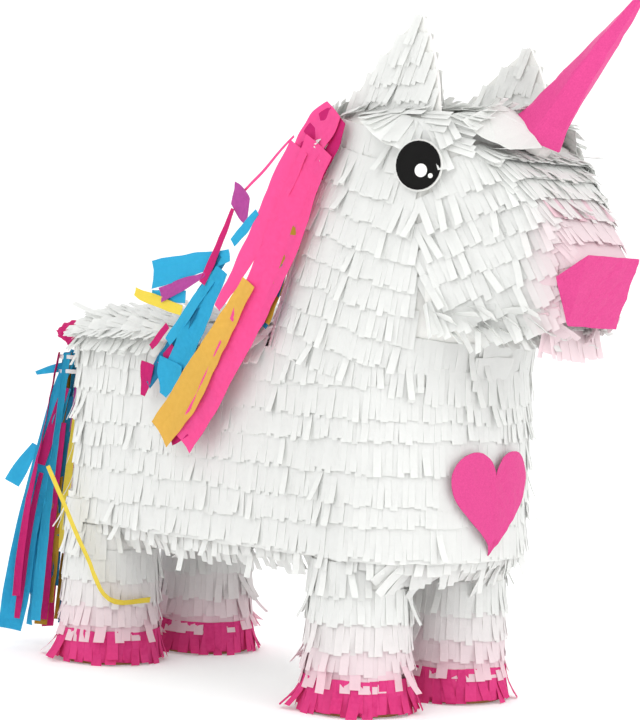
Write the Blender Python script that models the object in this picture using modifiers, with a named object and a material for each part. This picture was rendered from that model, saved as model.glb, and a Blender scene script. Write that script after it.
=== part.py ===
"""Unicorn pinata: a hollow cardboard animal covered with cut tissue fringe.

The animal stands on four legs on z = 0 and looks along +X. Its right side is at -Y.
Sizes are in metres. Places are measured from the middle of the four legs, and the last
step moves everything so that the origin is under the middle of the whole model's box.
"""
import math

import bmesh
import bpy
from mathutils import Matrix, Vector

# ------------------------------------------------------------------ driving dimensions
FIT = 0.0003              # gap between pieces that touch
JOIN_GAP = 0.0012         # gap between the edges of two taped card panels
CARD = 0.003              # corrugated card
TISSUE = 0.005            # one coat of overlapping tissue fringe
PAPER = 0.001             # glued-on coloured paper, as thick as it lies

# legs
LEG_SPREAD_X = 0.154      # leg centre ahead of and behind the middle
LEG_SPREAD_Y = 0.0575     # leg centre to each side
LEG_RADIUS = 0.0405       # outside of the card tube
HOOF_HEIGHT = 0.030       # pink band
HOOF_COAT = 0.0082        # the pink band is fuller than the leg's own fringe
HOOF_LIFT = 0.0008        # the band stops just short of the ground

# trunk: level outline of the card
BODY_REAR = -0.199
BODY_FRONT = 0.2345
BODY_HALF_WIDTH = 0.0977
RUMP_SPLIT = -0.140       # the side panels end here and the curved panels start
CHEST_SPLIT = 0.172
RUMP_POWER = 2.4          # squareness of the curved ends, 2 is an ellipse
CHEST_POWER = 2.0
BELLY_BOTTOM = 0.122
WALL_BOTTOM = 0.150
WALL_TOP = 0.280
BACK_TOP = 0.310

# neck and head
NECK_REAR_LOW = 0.050
NECK_REAR_HIGH = 0.100
NECK_REAR_DEPTH = 0.045   # depth of the rounded crest
NECK_REAR_POWER = 2.2
HEAD_RISE = 1.6           # the head's front is full at 1 / this share of the neck's height
NECK_HALF_WIDTH_HIGH = 0.081
HEAD_FRONT = 0.257
HEAD_POWER = 3.0
HEAD_TOP = 0.465
CROWN_TOP = 0.479

# snout: half-width, bottom and top of its card where it leaves the head and at its end
SNOUT_START = 0.232
SNOUT_END_LOW = 0.326
SNOUT_END_HIGH = 0.344
SNOUT_HALF_WIDTH = 0.079
SNOUT_END_HALF_WIDTH = 0.027
SNOUT_BOTTOM = 0.3165
SNOUT_TOP = 0.464
BRIDGE_POWER = 1.6        # how late the nose bridge bends down
SNOUT_END_BOTTOM = 0.3205
SNOUT_END_TOP = 0.364
SNOUT_CORNER = 0.010
SNOUT_COAT_END = 0.94      # the fringe stops at this share of the snout's length
MUZZLE_OVERLAP = 0.004     # the pink paper stands out this far round the snout's end

# ears, horn, eyes, heart
EAR_Y = 0.066
EAR_REAR = 0.127
EAR_FRONT = 0.229
EAR_TIP_X = 0.207
EAR_TIP_Z = 0.555
FAR_EAR_TIP_Z = 0.541
EAR_REAR_BULGE = 0.004
EAR_FRONT_BULGE = 0.005
EAR_TISSUE = 0.003
HORN_BASE = (0.268, 0.0, 0.460)
HORN_TIP = (0.365, 0.0, 0.563)
HORN_RADIUS = 0.0175      # card cone at the base
HORN_TIP_RADIUS = 0.0015
HORN_PAPER = 0.0018
HORN_CARD = 0.0014
HORN_HOLLOW_STOP = 0.030  # the rolled cone is solid over this much of its tip
HORN_SINK = 0.020         # run on below the base before it is cut to the forehead
EYE_X = 0.2285
EYE_Z = 0.4356
EYE_RADIUS = 0.0190
EYE_RIM = 0.0012
EYE_TURN = math.radians(17.0)
EYE_STANDOFF = 0.0012     # gap between the flat backing and the rounded fringe behind it
GLINT_RADIUS = 0.0052
GLINT_PLACE = (0.003, -0.004)  # forward and up from the middle of the eye
HEART_Y = 0.001
HEART_TIP_Z = 0.128
HEART_TOP_Z = 0.213
HEART_HALF_WIDTH = 0.0455

# filling flap on the back, hinged along its left edge
FLAP_REAR = -0.150
FLAP_LENGTH = 0.080
FLAP_HALF_WIDTH = 0.042
FLAP_CLEARANCE = 0.0010

# hanging plate under the back, with two cord holes
HANGER_X = -0.020
HANGER_LENGTH = 0.050
HANGER_HALF_WIDTH = 0.035
CORD_HOLE_RADIUS = 0.003
CORD_HOLE_PITCH = 0.020

# tail
TAIL_BEHIND = 0.030        # the tail hangs this far behind the rump
TAIL_Y = -0.050
TAIL_KNOT_Z = 0.288
KNOT_FORWARD = 0.012       # the knot's middle is ahead of the point the tail swings about
KNOT_HALF_SIZE = (0.0255, 0.018, 0.012)
TAIL_NECK_RADIUS = 0.0115
TAIL_NECK_TOP = 0.2735
TIE_WIDTH = 0.004
TIE_THICKNESS = 0.0022
TIE_UPPER_Z = 0.266
TIE_LOWER_Z = 0.253

# mesh fineness
SIDE_STEPS = 3
END_STEPS = 12
ROUND_STEPS = 28
SNOUT_STEPS = 6
SNOUT_CORNER_STEPS = 3
BUNCH_STEPS = 8
HEART_STEPS = 28
CUT_PAST = 0.02            # cutters run on this far past what they cut

FLAP_MID_X = FLAP_REAR + FLAP_LENGTH / 2
COAT = 2 * FIT + TISSUE    # from the card to the outside of its tissue
TAIL_X = BODY_REAR - TAIL_BEHIND


# ------------------------------------------------------------------ scene and materials
def clear_scene():
    for obj in list(bpy.data.objects):
        bpy.data.objects.remove(obj, do_unlink=True)


def make_collection(name):
    collection = bpy.data.collections.new(name)
    bpy.context.scene.collection.children.link(collection)
    return collection


def to_linear(channel):
    if channel <= 0.04045:
        return channel / 12.92
    return ((channel + 0.055) / 1.055) ** 2.4


def paper_material(name, hex_colour, roughness=0.85):
    material = bpy.data.materials.new(name)
    material.use_nodes = True
    rgb = [to_linear(int(hex_colour[i:i + 2], 16) / 255) for i in (0, 2, 4)]
    shader = material.node_tree.nodes["Principled BSDF"]
    shader.inputs["Base Color"].default_value = (*rgb, 1.0)
    shader.inputs["Roughness"].default_value = roughness
    shader.inputs["Metallic"].default_value = 0.0
    return material


clear_scene()
PARTS = make_collection("pinata")
CUTTERS = make_collection("pinata_cutters")
STAND = bpy.data.objects.new("stand", None)
PARTS.objects.link(STAND)

KRAFT = "b58f62"
WHITE = "f1f1ee"
BLUSH = "f6e4e6"
PINK = "e83e8c"
BLACK = "161616"
AMBER = "e8c35a"
TURQUOISE = "35b5dd"


def finish_object(obj, colour, roughness=0.85):
    """Puts a piece in the model's collection, on the stand, with its own material."""
    PARTS.objects.link(obj)
    obj.parent = STAND
    obj.data.materials.clear()
    obj.data.materials.append(paper_material(obj.name + "_paper", colour, roughness))
    return obj


def make_cutter(obj):
    CUTTERS.objects.link(obj)
    obj.parent = STAND
    obj.hide_render = True
    obj.display_type = "WIRE"
    return obj


def mesh_object(name, bm):
    bmesh.ops.recalc_face_normals(bm, faces=bm.faces)
    mesh = bpy.data.meshes.new(name)
    bm.to_mesh(mesh)
    bm.free()
    return bpy.data.objects.new(name, mesh)


def cut(obj, cutter, operation="DIFFERENCE"):
    modifier = obj.modifiers.new(operation.lower(), "BOOLEAN")
    modifier.operation = operation
    modifier.solver = "EXACT"
    modifier.object = cutter
    return obj


def smooth(obj, degrees=35.0):
    obj.data.shade_smooth()
    obj.data.set_sharp_from_angle(angle=math.radians(degrees))
    return obj


# ------------------------------------------------------------------ level outlines
def end_curve(split, tip, half_width, power):
    """Half of a rounded outline, from its right edge round the tip to its left edge."""
    points = []
    for step in range(END_STEPS + 1):
        angle = math.pi * (step / END_STEPS - 0.5)
        reach = abs(math.cos(angle)) ** (2 / power)
        side = math.copysign(abs(math.sin(angle)) ** (2 / power), angle)
        points.append((split + (tip - split) * reach, half_width * side))
    return points


def straight(start, end, y):
    return [(start + (end - start) * step / SIDE_STEPS, y) for step in range(SIDE_STEPS + 1)]


def outline(rear, rear_split, front_split, front, half_width, rear_power, front_power):
    """Four stretches of a level outline: right side, front, left side, rear."""
    return {
        "right": straight(rear_split, front_split, -half_width),
        "front": end_curve(front_split, front, half_width, front_power),
        "left": straight(front_split, rear_split, half_width),
        "rear": list(reversed(end_curve(rear_split, rear, half_width, rear_power))),
    }


def body_outline(inset):
    """The trunk's outline, moved in by inset (out where it is negative)."""
    return outline(BODY_REAR + inset, RUMP_SPLIT, CHEST_SPLIT, BODY_FRONT - inset,
                   BODY_HALF_WIDTH - inset, RUMP_POWER, CHEST_POWER)


def mix(low, high, share):
    return low + (high - low) * share


def neck_outline(z, inset):
    """The neck leans forward and narrows upwards, and its front squares into the head."""
    share = (z - WALL_TOP - RIM) / (HEAD_TOP - WALL_TOP - 2 * RIM)
    share = min(1.0, max(0.0, share))
    rise = min(1.0, HEAD_RISE * share)
    rear = mix(NECK_REAR_LOW, NECK_REAR_HIGH, share) + inset
    front = mix(BODY_FRONT, HEAD_FRONT, rise) - inset
    half_width = mix(BODY_HALF_WIDTH, NECK_HALF_WIDTH_HIGH, share ** 2) - inset
    power = mix(CHEST_POWER, HEAD_POWER, rise)
    return outline(rear, rear + NECK_REAR_DEPTH, CHEST_SPLIT, front, half_width, NECK_REAR_POWER,
                   power)


def whole_ring(sides, z):
    ring = []
    for name in ("right", "front", "left", "rear"):
        ring += [Vector((x, y, z)) for x, y in sides[name][:-1]]
    return ring


def panel_row(sides, name, z):
    """One level of one panel, its two upright edges moved in to leave the joint open."""
    row = [Vector((x, y, z)) for x, y in sides[name]]
    inward = 1.0 if row[1].x > row[0].x else -1.0
    row[0].x += inward * JOIN_GAP / 2
    inward = 1.0 if row[-2].x > row[-1].x else -1.0
    row[-1].x += inward * JOIN_GAP / 2
    return row


# ------------------------------------------------------------------ surfaces and solids
def surface(name, rows, closed, cap_top=False, cap_bottom=False):
    """A sheet through rows of points; closed rows join end to end."""
    bm = bmesh.new()
    grid = [[bm.verts.new(point) for point in row] for row in rows]
    count = len(rows[0])
    for lower, upper in zip(grid, grid[1:]):
        for i in range(count if closed else count - 1):
            j = (i + 1) % count
            bm.faces.new((lower[i], lower[j], upper[j], upper[i]))
    if cap_top:
        bm.faces.new(grid[-1])
    if cap_bottom:
        bm.faces.new(list(reversed(grid[0])))
    mesh = bpy.data.meshes.new(name)
    bm.to_mesh(mesh)
    bm.free()
    return bpy.data.objects.new(name, mesh)


def thicken(obj, thickness):
    """Gives a sheet its thickness, inwards from the surface that it was drawn on."""
    modifier = obj.modifiers.new("thickness", "SOLIDIFY")
    modifier.thickness = thickness
    modifier.offset = -1.0
    modifier.use_even_offset = True
    return obj


def cylinder_object(name, radius, low, high, centre, steps=ROUND_STEPS):
    bm = bmesh.new()
    bmesh.ops.create_cone(bm, cap_ends=True, segments=steps, radius1=radius, radius2=radius,
                          depth=high - low)
    bmesh.ops.translate(bm, verts=bm.verts, vec=(0, 0, (low + high) / 2))
    obj = mesh_object(name, bm)
    obj.location = (centre[0], centre[1], 0.0)
    return obj


def box_object(name, low, high):
    bm = bmesh.new()
    bmesh.ops.create_cube(bm, size=1.0)
    size = [b - a for a, b in zip(low, high)]
    bmesh.ops.scale(bm, verts=bm.verts, vec=size)
    bmesh.ops.translate(bm, verts=bm.verts, vec=[(a + b) / 2 for a, b in zip(low, high)])
    return mesh_object(name, bm)


def sleeve_object(name, inner, outer, low, high, centre):
    """A tube as a turned profile, its outer side first and top to bottom."""
    bm = bmesh.new()
    profile = [(outer, high), (outer, low), (inner, low), (inner, high)]
    verts = [bm.verts.new((radius, 0, z)) for radius, z in profile]
    for a, b in zip(verts, verts[1:] + verts[:1]):
        bm.edges.new((a, b))
    mesh = bpy.data.meshes.new(name)
    bm.to_mesh(mesh)
    bm.free()
    obj = bpy.data.objects.new(name, mesh)
    screw = obj.modifiers.new("turn", "SCREW")
    screw.steps = ROUND_STEPS
    screw.render_steps = ROUND_STEPS
    screw.use_merge_vertices = True
    screw.merge_threshold = 0.0001
    obj.location = (centre[0], centre[1], 0.0)
    return obj


# ------------------------------------------------------------------ trunk
RIM = 0.004               # upright start of the tray, the back and the crown
TRAY_LEVELS = [(BELLY_BOTTOM, 0.028), (0.127, 0.014), (0.136, 0.005), (WALL_BOTTOM - RIM, 0.0)]
DOME_LEVELS = [(RIM, 0.0), (0.013, 0.004), (0.024, 0.020), (BACK_TOP - WALL_TOP, 0.045)]


def tray_rows(coat):
    """The belly tray, from its flat bottom up to the wall panels."""
    rows = [whole_ring(body_outline(inset - coat), z - coat) for z, inset in TRAY_LEVELS]
    rows.append(whole_ring(body_outline(-coat), WALL_BOTTOM - FIT))
    return rows


def dome_rows(coat, start):
    """The rounded back, from the wall panels up to its flat top."""
    rows = [whole_ring(body_outline(-coat), start)]
    rows += [whole_ring(body_outline(inset - coat), WALL_TOP + rise + coat)
             for rise, inset in DOME_LEVELS]
    return rows


def build_trunk_card():
    for name, side in (("side_panel_right", "right"), ("side_panel_left", "left"),
                       ("chest_panel", "front"), ("rump_panel", "rear")):
        rows = [panel_row(body_outline(0.0), side, z) for z in (WALL_BOTTOM, WALL_TOP)]
        finish_object(thicken(smooth(surface(name, rows, closed=False)), CARD), KRAFT)
    belly = thicken(surface("belly_panel", tray_rows(0.0), closed=True, cap_bottom=True), CARD)
    finish_object(belly, KRAFT)
    back = surface("back_panel", dome_rows(0.0, WALL_TOP + FIT), closed=True, cap_top=True)
    finish_object(thicken(back, CARD), KRAFT)
    return back


def build_trunk_tissue():
    wall = [whole_ring(body_outline(-COAT), z) for z in (WALL_BOTTOM, WALL_TOP)]
    finish_object(thicken(surface("trunk_tissue", wall, closed=True), TISSUE), WHITE)
    belly = surface("belly_tissue", tray_rows(COAT), closed=True, cap_bottom=True)
    finish_object(thicken(belly, TISSUE), WHITE)
    back = surface("back_tissue", dome_rows(COAT, WALL_TOP + FIT), closed=True, cap_top=True)
    finish_object(thicken(back, TISSUE), WHITE)
    return belly, back


def solid_cutter(name, rows):
    return make_cutter(surface(name, rows, closed=True, cap_top=True, cap_bottom=True))


def trunk_cutter(name, coat):
    """The closed outer shape of the trunk, with one coat or none, for fitting to it."""
    rows = [whole_ring(body_outline(-coat), WALL_BOTTOM)] + dome_rows(coat, WALL_TOP)
    return solid_cutter(name, rows)


# ------------------------------------------------------------------ neck, crown, snout
NECK_LEVELS = (WALL_TOP + FIT, WALL_TOP + RIM, 0.320, 0.360, 0.400, 0.435, HEAD_TOP - RIM,
               HEAD_TOP)
CROWN_LEVELS = ((RIM, 0.0), (0.010, 0.004), (CROWN_TOP - HEAD_TOP, 0.014))


def crown_rows(coat, start):
    rows = [whole_ring(neck_outline(HEAD_TOP, -coat), start)]
    rows += [whole_ring(neck_outline(HEAD_TOP, inset - coat), HEAD_TOP + rise + coat)
             for rise, inset in CROWN_LEVELS]
    return rows


def neck_rows(coat):
    rows = [whole_ring(neck_outline(z, -coat), z) for z in NECK_LEVELS]
    return rows + crown_rows(coat, HEAD_TOP + JOIN_GAP)[1:]


def snout_section(share, coat):
    """One cut across the snout; share runs from 0 at the head to 1 at the muzzle."""
    length = SNOUT_END_HIGH - SNOUT_START
    taper = (SNOUT_HALF_WIDTH - SNOUT_END_HALF_WIDTH) / length
    half_width = mix(SNOUT_HALF_WIDTH, SNOUT_END_HALF_WIDTH, share) + coat * math.hypot(1, taper)
    floor = mix(SNOUT_BOTTOM, SNOUT_END_BOTTOM, share)
    drop = SNOUT_TOP - SNOUT_END_TOP
    bridge = SNOUT_TOP - drop * share ** BRIDGE_POWER
    slope = BRIDGE_POWER * drop * share ** (BRIDGE_POWER - 1) / length
    low = floor - coat
    high = bridge + coat * math.hypot(1, slope)
    low_x = mix(SNOUT_START, SNOUT_END_LOW, share)
    high_x = mix(SNOUT_START, SNOUT_END_HIGH, share)
    corner = SNOUT_CORNER + coat
    middle_z = (low + high) / 2
    points = []
    for quarter, (sy, sz) in enumerate(((1, 1), (-1, 1), (-1, -1), (1, -1))):
        for step in range(SNOUT_CORNER_STEPS + 1):
            angle = math.pi / 2 * (quarter + step / SNOUT_CORNER_STEPS)
            y = sy * (half_width - corner) + corner * math.cos(angle)
            z = middle_z + sz * ((high - low) / 2 - corner) + corner * math.sin(angle)
            x = mix(low_x, high_x, (z - floor) / (bridge - floor))
            points.append(Vector((x, y, z)))
    return points


def snout_rows(coat, last=1.0, lead=0.0):
    """Cuts from the head to the muzzle; lead runs the first one back into the head."""
    rows = [snout_section(last * step / SNOUT_STEPS, coat) for step in range(SNOUT_STEPS + 1)]
    if lead > 0:
        rows.insert(0, [point - Vector((lead, 0, 0)) for point in rows[0]])
    return rows


def build_neck_card():
    for name, side in (("neck_side_right", "right"), ("neck_side_left", "left"),
                       ("neck_front", "front"), ("neck_crest", "rear")):
        rows = [panel_row(neck_outline(z, 0.0), side, z) for z in NECK_LEVELS]
        finish_object(thicken(smooth(surface(name, rows, closed=False)), CARD), KRAFT)
    crown = surface("crown_panel", crown_rows(0.0, HEAD_TOP + FIT), closed=True, cap_top=True)
    finish_object(thicken(crown, CARD), KRAFT)


def build_snout(neck_solid, neck_coated, snout_solid):
    tube = surface("snout_tube", snout_rows(0.0), closed=True)
    cut(thicken(tube, CARD), neck_solid)
    finish_object(tube, KRAFT)
    coat = surface("snout_tissue", snout_rows(COAT, last=SNOUT_COAT_END), closed=True)
    cut(cut(thicken(coat, TISSUE), neck_coated), snout_solid)
    finish_object(coat, BLUSH)


def muzzle_plate(name, start, thickness, coat, colour):
    """A flat plate across the snout's leaning end."""
    lean = Vector((SNOUT_END_HIGH - SNOUT_END_LOW, 0, SNOUT_END_TOP - SNOUT_END_BOTTOM))
    ahead = Vector((lean.z, 0, -lean.x)).normalized()
    section = snout_section(1.0, coat)
    rows = [[point + ahead * start for point in section],
            [point + ahead * (start + thickness) for point in section]]
    plate = surface(name, rows, closed=True, cap_top=True, cap_bottom=True)
    return finish_object(plate, colour)


# ------------------------------------------------------------------ legs
def leg_places():
    for end, x in (("front", LEG_SPREAD_X), ("rear", -LEG_SPREAD_X)):
        for side, y in (("right", -LEG_SPREAD_Y), ("left", LEG_SPREAD_Y)):
            yield f"{end}_{side}", (x, y)


def build_legs(tray_solid, belly_tissue):
    coated = LEG_RADIUS + COAT
    top = WALL_BOTTOM - FIT
    for name, centre in leg_places():
        sole = cylinder_object(f"sole_{name}", LEG_RADIUS, 0.0, CARD, centre)
        finish_object(sole, KRAFT)
        tube = sleeve_object(f"leg_tube_{name}", LEG_RADIUS - CARD, LEG_RADIUS,
                             CARD + FIT, top, centre)
        finish_object(cut(tube, tray_solid), KRAFT)
        tissue = sleeve_object(f"leg_tissue_{name}", LEG_RADIUS + FIT, coated,
                               HOOF_HEIGHT + FIT, top, centre)
        finish_object(cut(tissue, tray_solid), WHITE)
        band = sleeve_object(f"hoof_band_{name}", LEG_RADIUS + FIT,
                             LEG_RADIUS + FIT + HOOF_COAT, HOOF_LIFT, HOOF_HEIGHT, centre)
        finish_object(band, PINK)
        hole = cylinder_object(f"leg_hole_{name}", coated + FIT, 0.0, WALL_TOP, centre)
        cut(belly_tissue, make_cutter(hole))


# ------------------------------------------------------------------ flap, hanger
def build_back_fittings(back_panel, back_tissue):
    """The filling flap, its opening in the back, and the plate for the hanging cord."""
    flap_low = (FLAP_REAR, -FLAP_HALF_WIDTH)
    flap_high = (FLAP_REAR + FLAP_LENGTH, FLAP_HALF_WIDTH)
    room = FLAP_CLEARANCE
    opening = box_object("flap_opening", (flap_low[0] - room, flap_low[1] - room, WALL_TOP),
                         (flap_high[0] + room, flap_high[1] + room, BACK_TOP + CUT_PAST))
    make_cutter(opening)
    cut(back_panel, opening)
    cut(back_tissue, opening)

    top = BACK_TOP + COAT
    pivot = Vector((FLAP_MID_X, FLAP_HALF_WIDTH, top))
    card = box_object("fill_flap", (*flap_low, BACK_TOP - CARD), (*flap_high, BACK_TOP))
    coat = box_object("flap_tissue", (*flap_low, BACK_TOP + FIT), (*flap_high, top))
    for piece, colour in ((card, KRAFT), (coat, WHITE)):
        piece.data.transform(Matrix.Translation(-pivot))
        piece.location = pivot
        finish_object(piece, colour)

    plate_top = BACK_TOP - CARD - FIT
    half = HANGER_LENGTH / 2
    plate = box_object("hanger_plate", (HANGER_X - half, -HANGER_HALF_WIDTH, plate_top - CARD),
                       (HANGER_X + half, HANGER_HALF_WIDTH, plate_top))
    finish_object(plate, KRAFT)
    for side in (-1, 1):
        centre = (HANGER_X, side * CORD_HOLE_PITCH / 2)
        hole = cylinder_object(f"cord_hole_{side}", CORD_HOLE_RADIUS, WALL_TOP,
                               BACK_TOP + CUT_PAST, centre, steps=12)
        make_cutter(hole)
        for piece in (plate, back_panel, back_tissue):
            cut(piece, hole)


# ------------------------------------------------------------------ ears, horn, eyes, heart
def ear_outline(tip_z, grow, drop):
    """A leaf shape with bulging edges and a blunt tip, grown all round and run on down."""
    low = Vector((EAR_REAR, CROWN_TOP + FIT))
    high = Vector((EAR_FRONT, CROWN_TOP + FIT))
    tip = Vector((EAR_TIP_X, tip_z))
    points = [low]
    for start, end, bulge in ((low, tip, EAR_REAR_BULGE), (tip, high, EAR_FRONT_BULGE)):
        across = Vector((start.y - end.y, end.x - start.x)).normalized()
        for step in range(1, 5):
            bow = across * bulge * math.sin(math.pi * step / 4)
            points.append(start.lerp(end, step / 4) + bow)
    grown = []
    for before, point, after in zip(points[:1] + points, points, points[1:] + points[-1:]):
        along = (after - before).normalized()
        grown.append(point + Vector((-along.y, along.x)) * grow)
    first = Vector((grown[0].x, low.y - drop))
    last = Vector((grown[-1].x, low.y - drop))
    return [first] + grown + [last]


def ear_solid(name, tip_z, y, thickness, grow, drop):
    bm = bmesh.new()
    verts = [bm.verts.new((p.x, y - thickness / 2, p.y)) for p in ear_outline(tip_z, grow, drop)]
    face = bm.faces.new(verts)
    grown = bmesh.ops.extrude_face_region(bm, geom=[face])["geom"]
    moved = [item for item in grown if isinstance(item, bmesh.types.BMVert)]
    bmesh.ops.translate(bm, verts=moved, vec=(0, thickness, 0))
    return mesh_object(name, bm)


def build_ears(neck_tissue, neck_solid, neck_coated):
    """Each ear is a card leaf let into the crown's tissue, with a tissue cover."""
    cover_grow = EAR_TISSUE + 2 * FIT
    for side, y, tip in (("right", -EAR_Y, EAR_TIP_Z), ("left", EAR_Y, FAR_EAR_TIP_Z)):
        card = ear_solid(f"ear_card_{side}", tip, y, CARD, 0.0, CARD)
        finish_object(cut(card, neck_solid), KRAFT)
        room = make_cutter(ear_solid(f"ear_room_{side}", tip, y, CARD + 2 * FIT, FIT, 2 * CARD))
        cut(neck_tissue, room)
        cover = ear_solid(f"ear_tissue_{side}", tip, y, CARD + 2 * cover_grow, cover_grow, CARD)
        cut(cover, neck_coated)
        finish_object(cut(cover, room), WHITE)


def cone_object(name, radius, tip_radius, shorten):
    """A cone on the horn's axis, run on below its base and cut short at its tip."""
    base = Vector(HORN_BASE)
    axis = Vector(HORN_TIP) - base
    slope = (HORN_RADIUS - HORN_TIP_RADIUS) / axis.length
    length = axis.length - shorten
    bm = bmesh.new()
    bmesh.ops.create_cone(bm, cap_ends=True, segments=16, radius1=radius + slope * HORN_SINK,
                          radius2=tip_radius + slope * shorten, depth=length + HORN_SINK)
    turn = Vector((0, 0, 1)).rotation_difference(axis).to_matrix().to_4x4()
    middle = base + axis.normalized() * (length - HORN_SINK) / 2
    obj = mesh_object(name, bm)
    obj.data.transform(Matrix.Translation(middle) @ turn)
    return obj


def build_horn(fitting_solids):
    """A rolled card cone in a wrap of crumpled paper, cut to sit on the forehead."""
    wall = HORN_CARD
    card = cone_object("horn_cone", HORN_RADIUS, HORN_TIP_RADIUS, HORN_PAPER + FIT)
    hollow = make_cutter(cone_object("horn_hollow", HORN_RADIUS - wall,
                                     HORN_TIP_RADIUS - wall, HORN_HOLLOW_STOP))
    room = make_cutter(cone_object("horn_room", HORN_RADIUS + FIT, HORN_TIP_RADIUS + FIT,
                                   HORN_PAPER))
    wrap = cone_object("horn_wrap", HORN_RADIUS + FIT + HORN_PAPER,
                       HORN_TIP_RADIUS + HORN_PAPER, 0.0)
    for solid in fitting_solids:
        cut(card, solid)
        cut(wrap, solid)
    finish_object(cut(card, hollow), KRAFT)
    finish_object(cut(wrap, room), PINK)


def disc_object(name, radius, thickness, steps=28):
    bm = bmesh.new()
    bmesh.ops.create_cone(bm, cap_ends=True, segments=steps, radius1=radius, radius2=radius,
                          depth=thickness)
    obj = mesh_object(name, bm)
    obj.data.transform(Matrix.Translation((0, 0, thickness / 2)))
    return obj


def head_half_width(x, z, coat):
    """Half-width of the coated head at one place along it."""
    sides = neck_outline(z, -coat)
    front = max(point[0] for point in sides["front"])
    half_width = max(point[1] for point in sides["front"])
    power = HEAD_POWER
    reach = max(0.0, x - CHEST_SPLIT) / (front - CHEST_SPLIT)
    return half_width * (1 - reach ** power) ** (1 / power)


def eye_reach():
    """How far out the middle of the flat eye is when its whole rim clears the coated head."""
    radius = EYE_RADIUS + EYE_RIM
    needed = 0.0
    for step in range(ROUND_STEPS):
        angle = 2 * math.pi * step / ROUND_STEPS
        ahead = radius * math.cos(angle)
        head = head_half_width(EYE_X + ahead * math.cos(EYE_TURN), EYE_Z + radius * math.sin(angle), COAT)
        needed = max(needed, head + ahead * math.sin(EYE_TURN))
    return needed + EYE_STANDOFF


def build_eyes():
    """White backing, black disc and a white glint, facing out and a little forward."""
    layers = (("eye_backing", EYE_RADIUS + EYE_RIM, 0.0, PAPER, WHITE, (0, 0)),
              ("eye_disc", EYE_RADIUS, PAPER + FIT, PAPER, BLACK, (0, 0)),
              ("eye_glint", GLINT_RADIUS, 2 * (PAPER + FIT), PAPER / 2, WHITE, GLINT_PLACE))
    reach = eye_reach()
    for side, sign in (("right", -1), ("left", 1)):
        facing = Vector((math.sin(EYE_TURN), sign * math.cos(EYE_TURN), 0))
        along = Vector((math.cos(EYE_TURN), -sign * math.sin(EYE_TURN), 0))
        centre = Vector((EYE_X, sign * reach, EYE_Z))
        for name, radius, lift, thickness, colour, offset in layers:
            disc = disc_object(f"{name}_{side}", radius, thickness)
            up = Vector((0, 0, 1))
            across = up.cross(facing)
            frame = Matrix((across, up, facing)).transposed().to_4x4()
            place = centre + facing * lift + along * offset[0] + up * offset[1]
            disc.data.transform(Matrix.Translation(place) @ frame)
            finish_object(disc, colour, roughness=0.5)


def heart_outline():
    """Two round lobes over a point, in the plane across the chest."""
    points = []
    height = HEART_TOP_Z - HEART_TIP_Z
    for step in range(HEART_STEPS):
        t = 2 * math.pi * step / HEART_STEPS
        y = HEART_HALF_WIDTH * math.sin(t) ** 3
        rise = 13 * math.cos(t) - 5 * math.cos(2 * t) - 2 * math.cos(3 * t) - math.cos(4 * t)
        points.append((HEART_Y + y, HEART_TIP_Z + height * (rise + 17) / 28.9))
    return points


def build_heart():
    """Paper heart that follows the chest: a slice of a thin skin on the coated chest."""
    bm = bmesh.new()
    face = bm.faces.new([bm.verts.new((CHEST_SPLIT, y, z)) for y, z in heart_outline()])
    grown = bmesh.ops.extrude_face_region(bm, geom=[face])["geom"]
    moved = [item for item in grown if isinstance(item, bmesh.types.BMVert)]
    bmesh.ops.translate(bm, verts=moved, vec=(BODY_FRONT - CHEST_SPLIT + CUT_PAST, 0, 0))
    prism = make_cutter(mesh_object("heart_prism", bm))
    offset = COAT + FIT + PAPER
    rows = [[Vector((x, y, z)) for x, y in body_outline(-offset)["front"]]
            for z in (HEART_TIP_Z - CUT_PAST, HEART_TOP_Z + CUT_PAST)]
    skin = thicken(surface("heart", rows, closed=False), PAPER)
    return finish_object(cut(skin, prism, "INTERSECT"), PINK)


# ------------------------------------------------------------------ mane and tail
def bunch_object(name, stations):
    """A flat bunch of streamers: (place, outward direction, width, thickness) along it."""
    places = [Vector(station[0]) for station in stations]
    rows = []
    for i, (place, outward, width, thickness) in enumerate(stations):
        ahead = places[min(i + 1, len(places) - 1)] - places[max(i - 1, 0)]
        outward = Vector(outward).normalized()
        across = ahead.cross(outward).normalized()
        outward = across.cross(ahead).normalized()
        row = []
        for step in range(BUNCH_STEPS):
            angle = 2 * math.pi * (step + 0.5) / BUNCH_STEPS
            row.append(Vector(place) + across * width / 2 * math.cos(angle)
                       + outward * thickness / 2 * math.sin(angle))
        rows.append(row)
    bm = bmesh.new()
    grid = [[bm.verts.new(point) for point in row] for row in rows]
    for lower, upper in zip(grid, grid[1:]):
        for i in range(BUNCH_STEPS):
            k = (i + 1) % BUNCH_STEPS
            bm.faces.new((lower[i], lower[k], upper[k], upper[i]))
    bm.faces.new(grid[0])
    bm.faces.new(grid[-1])
    return mesh_object(name, bm)


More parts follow.
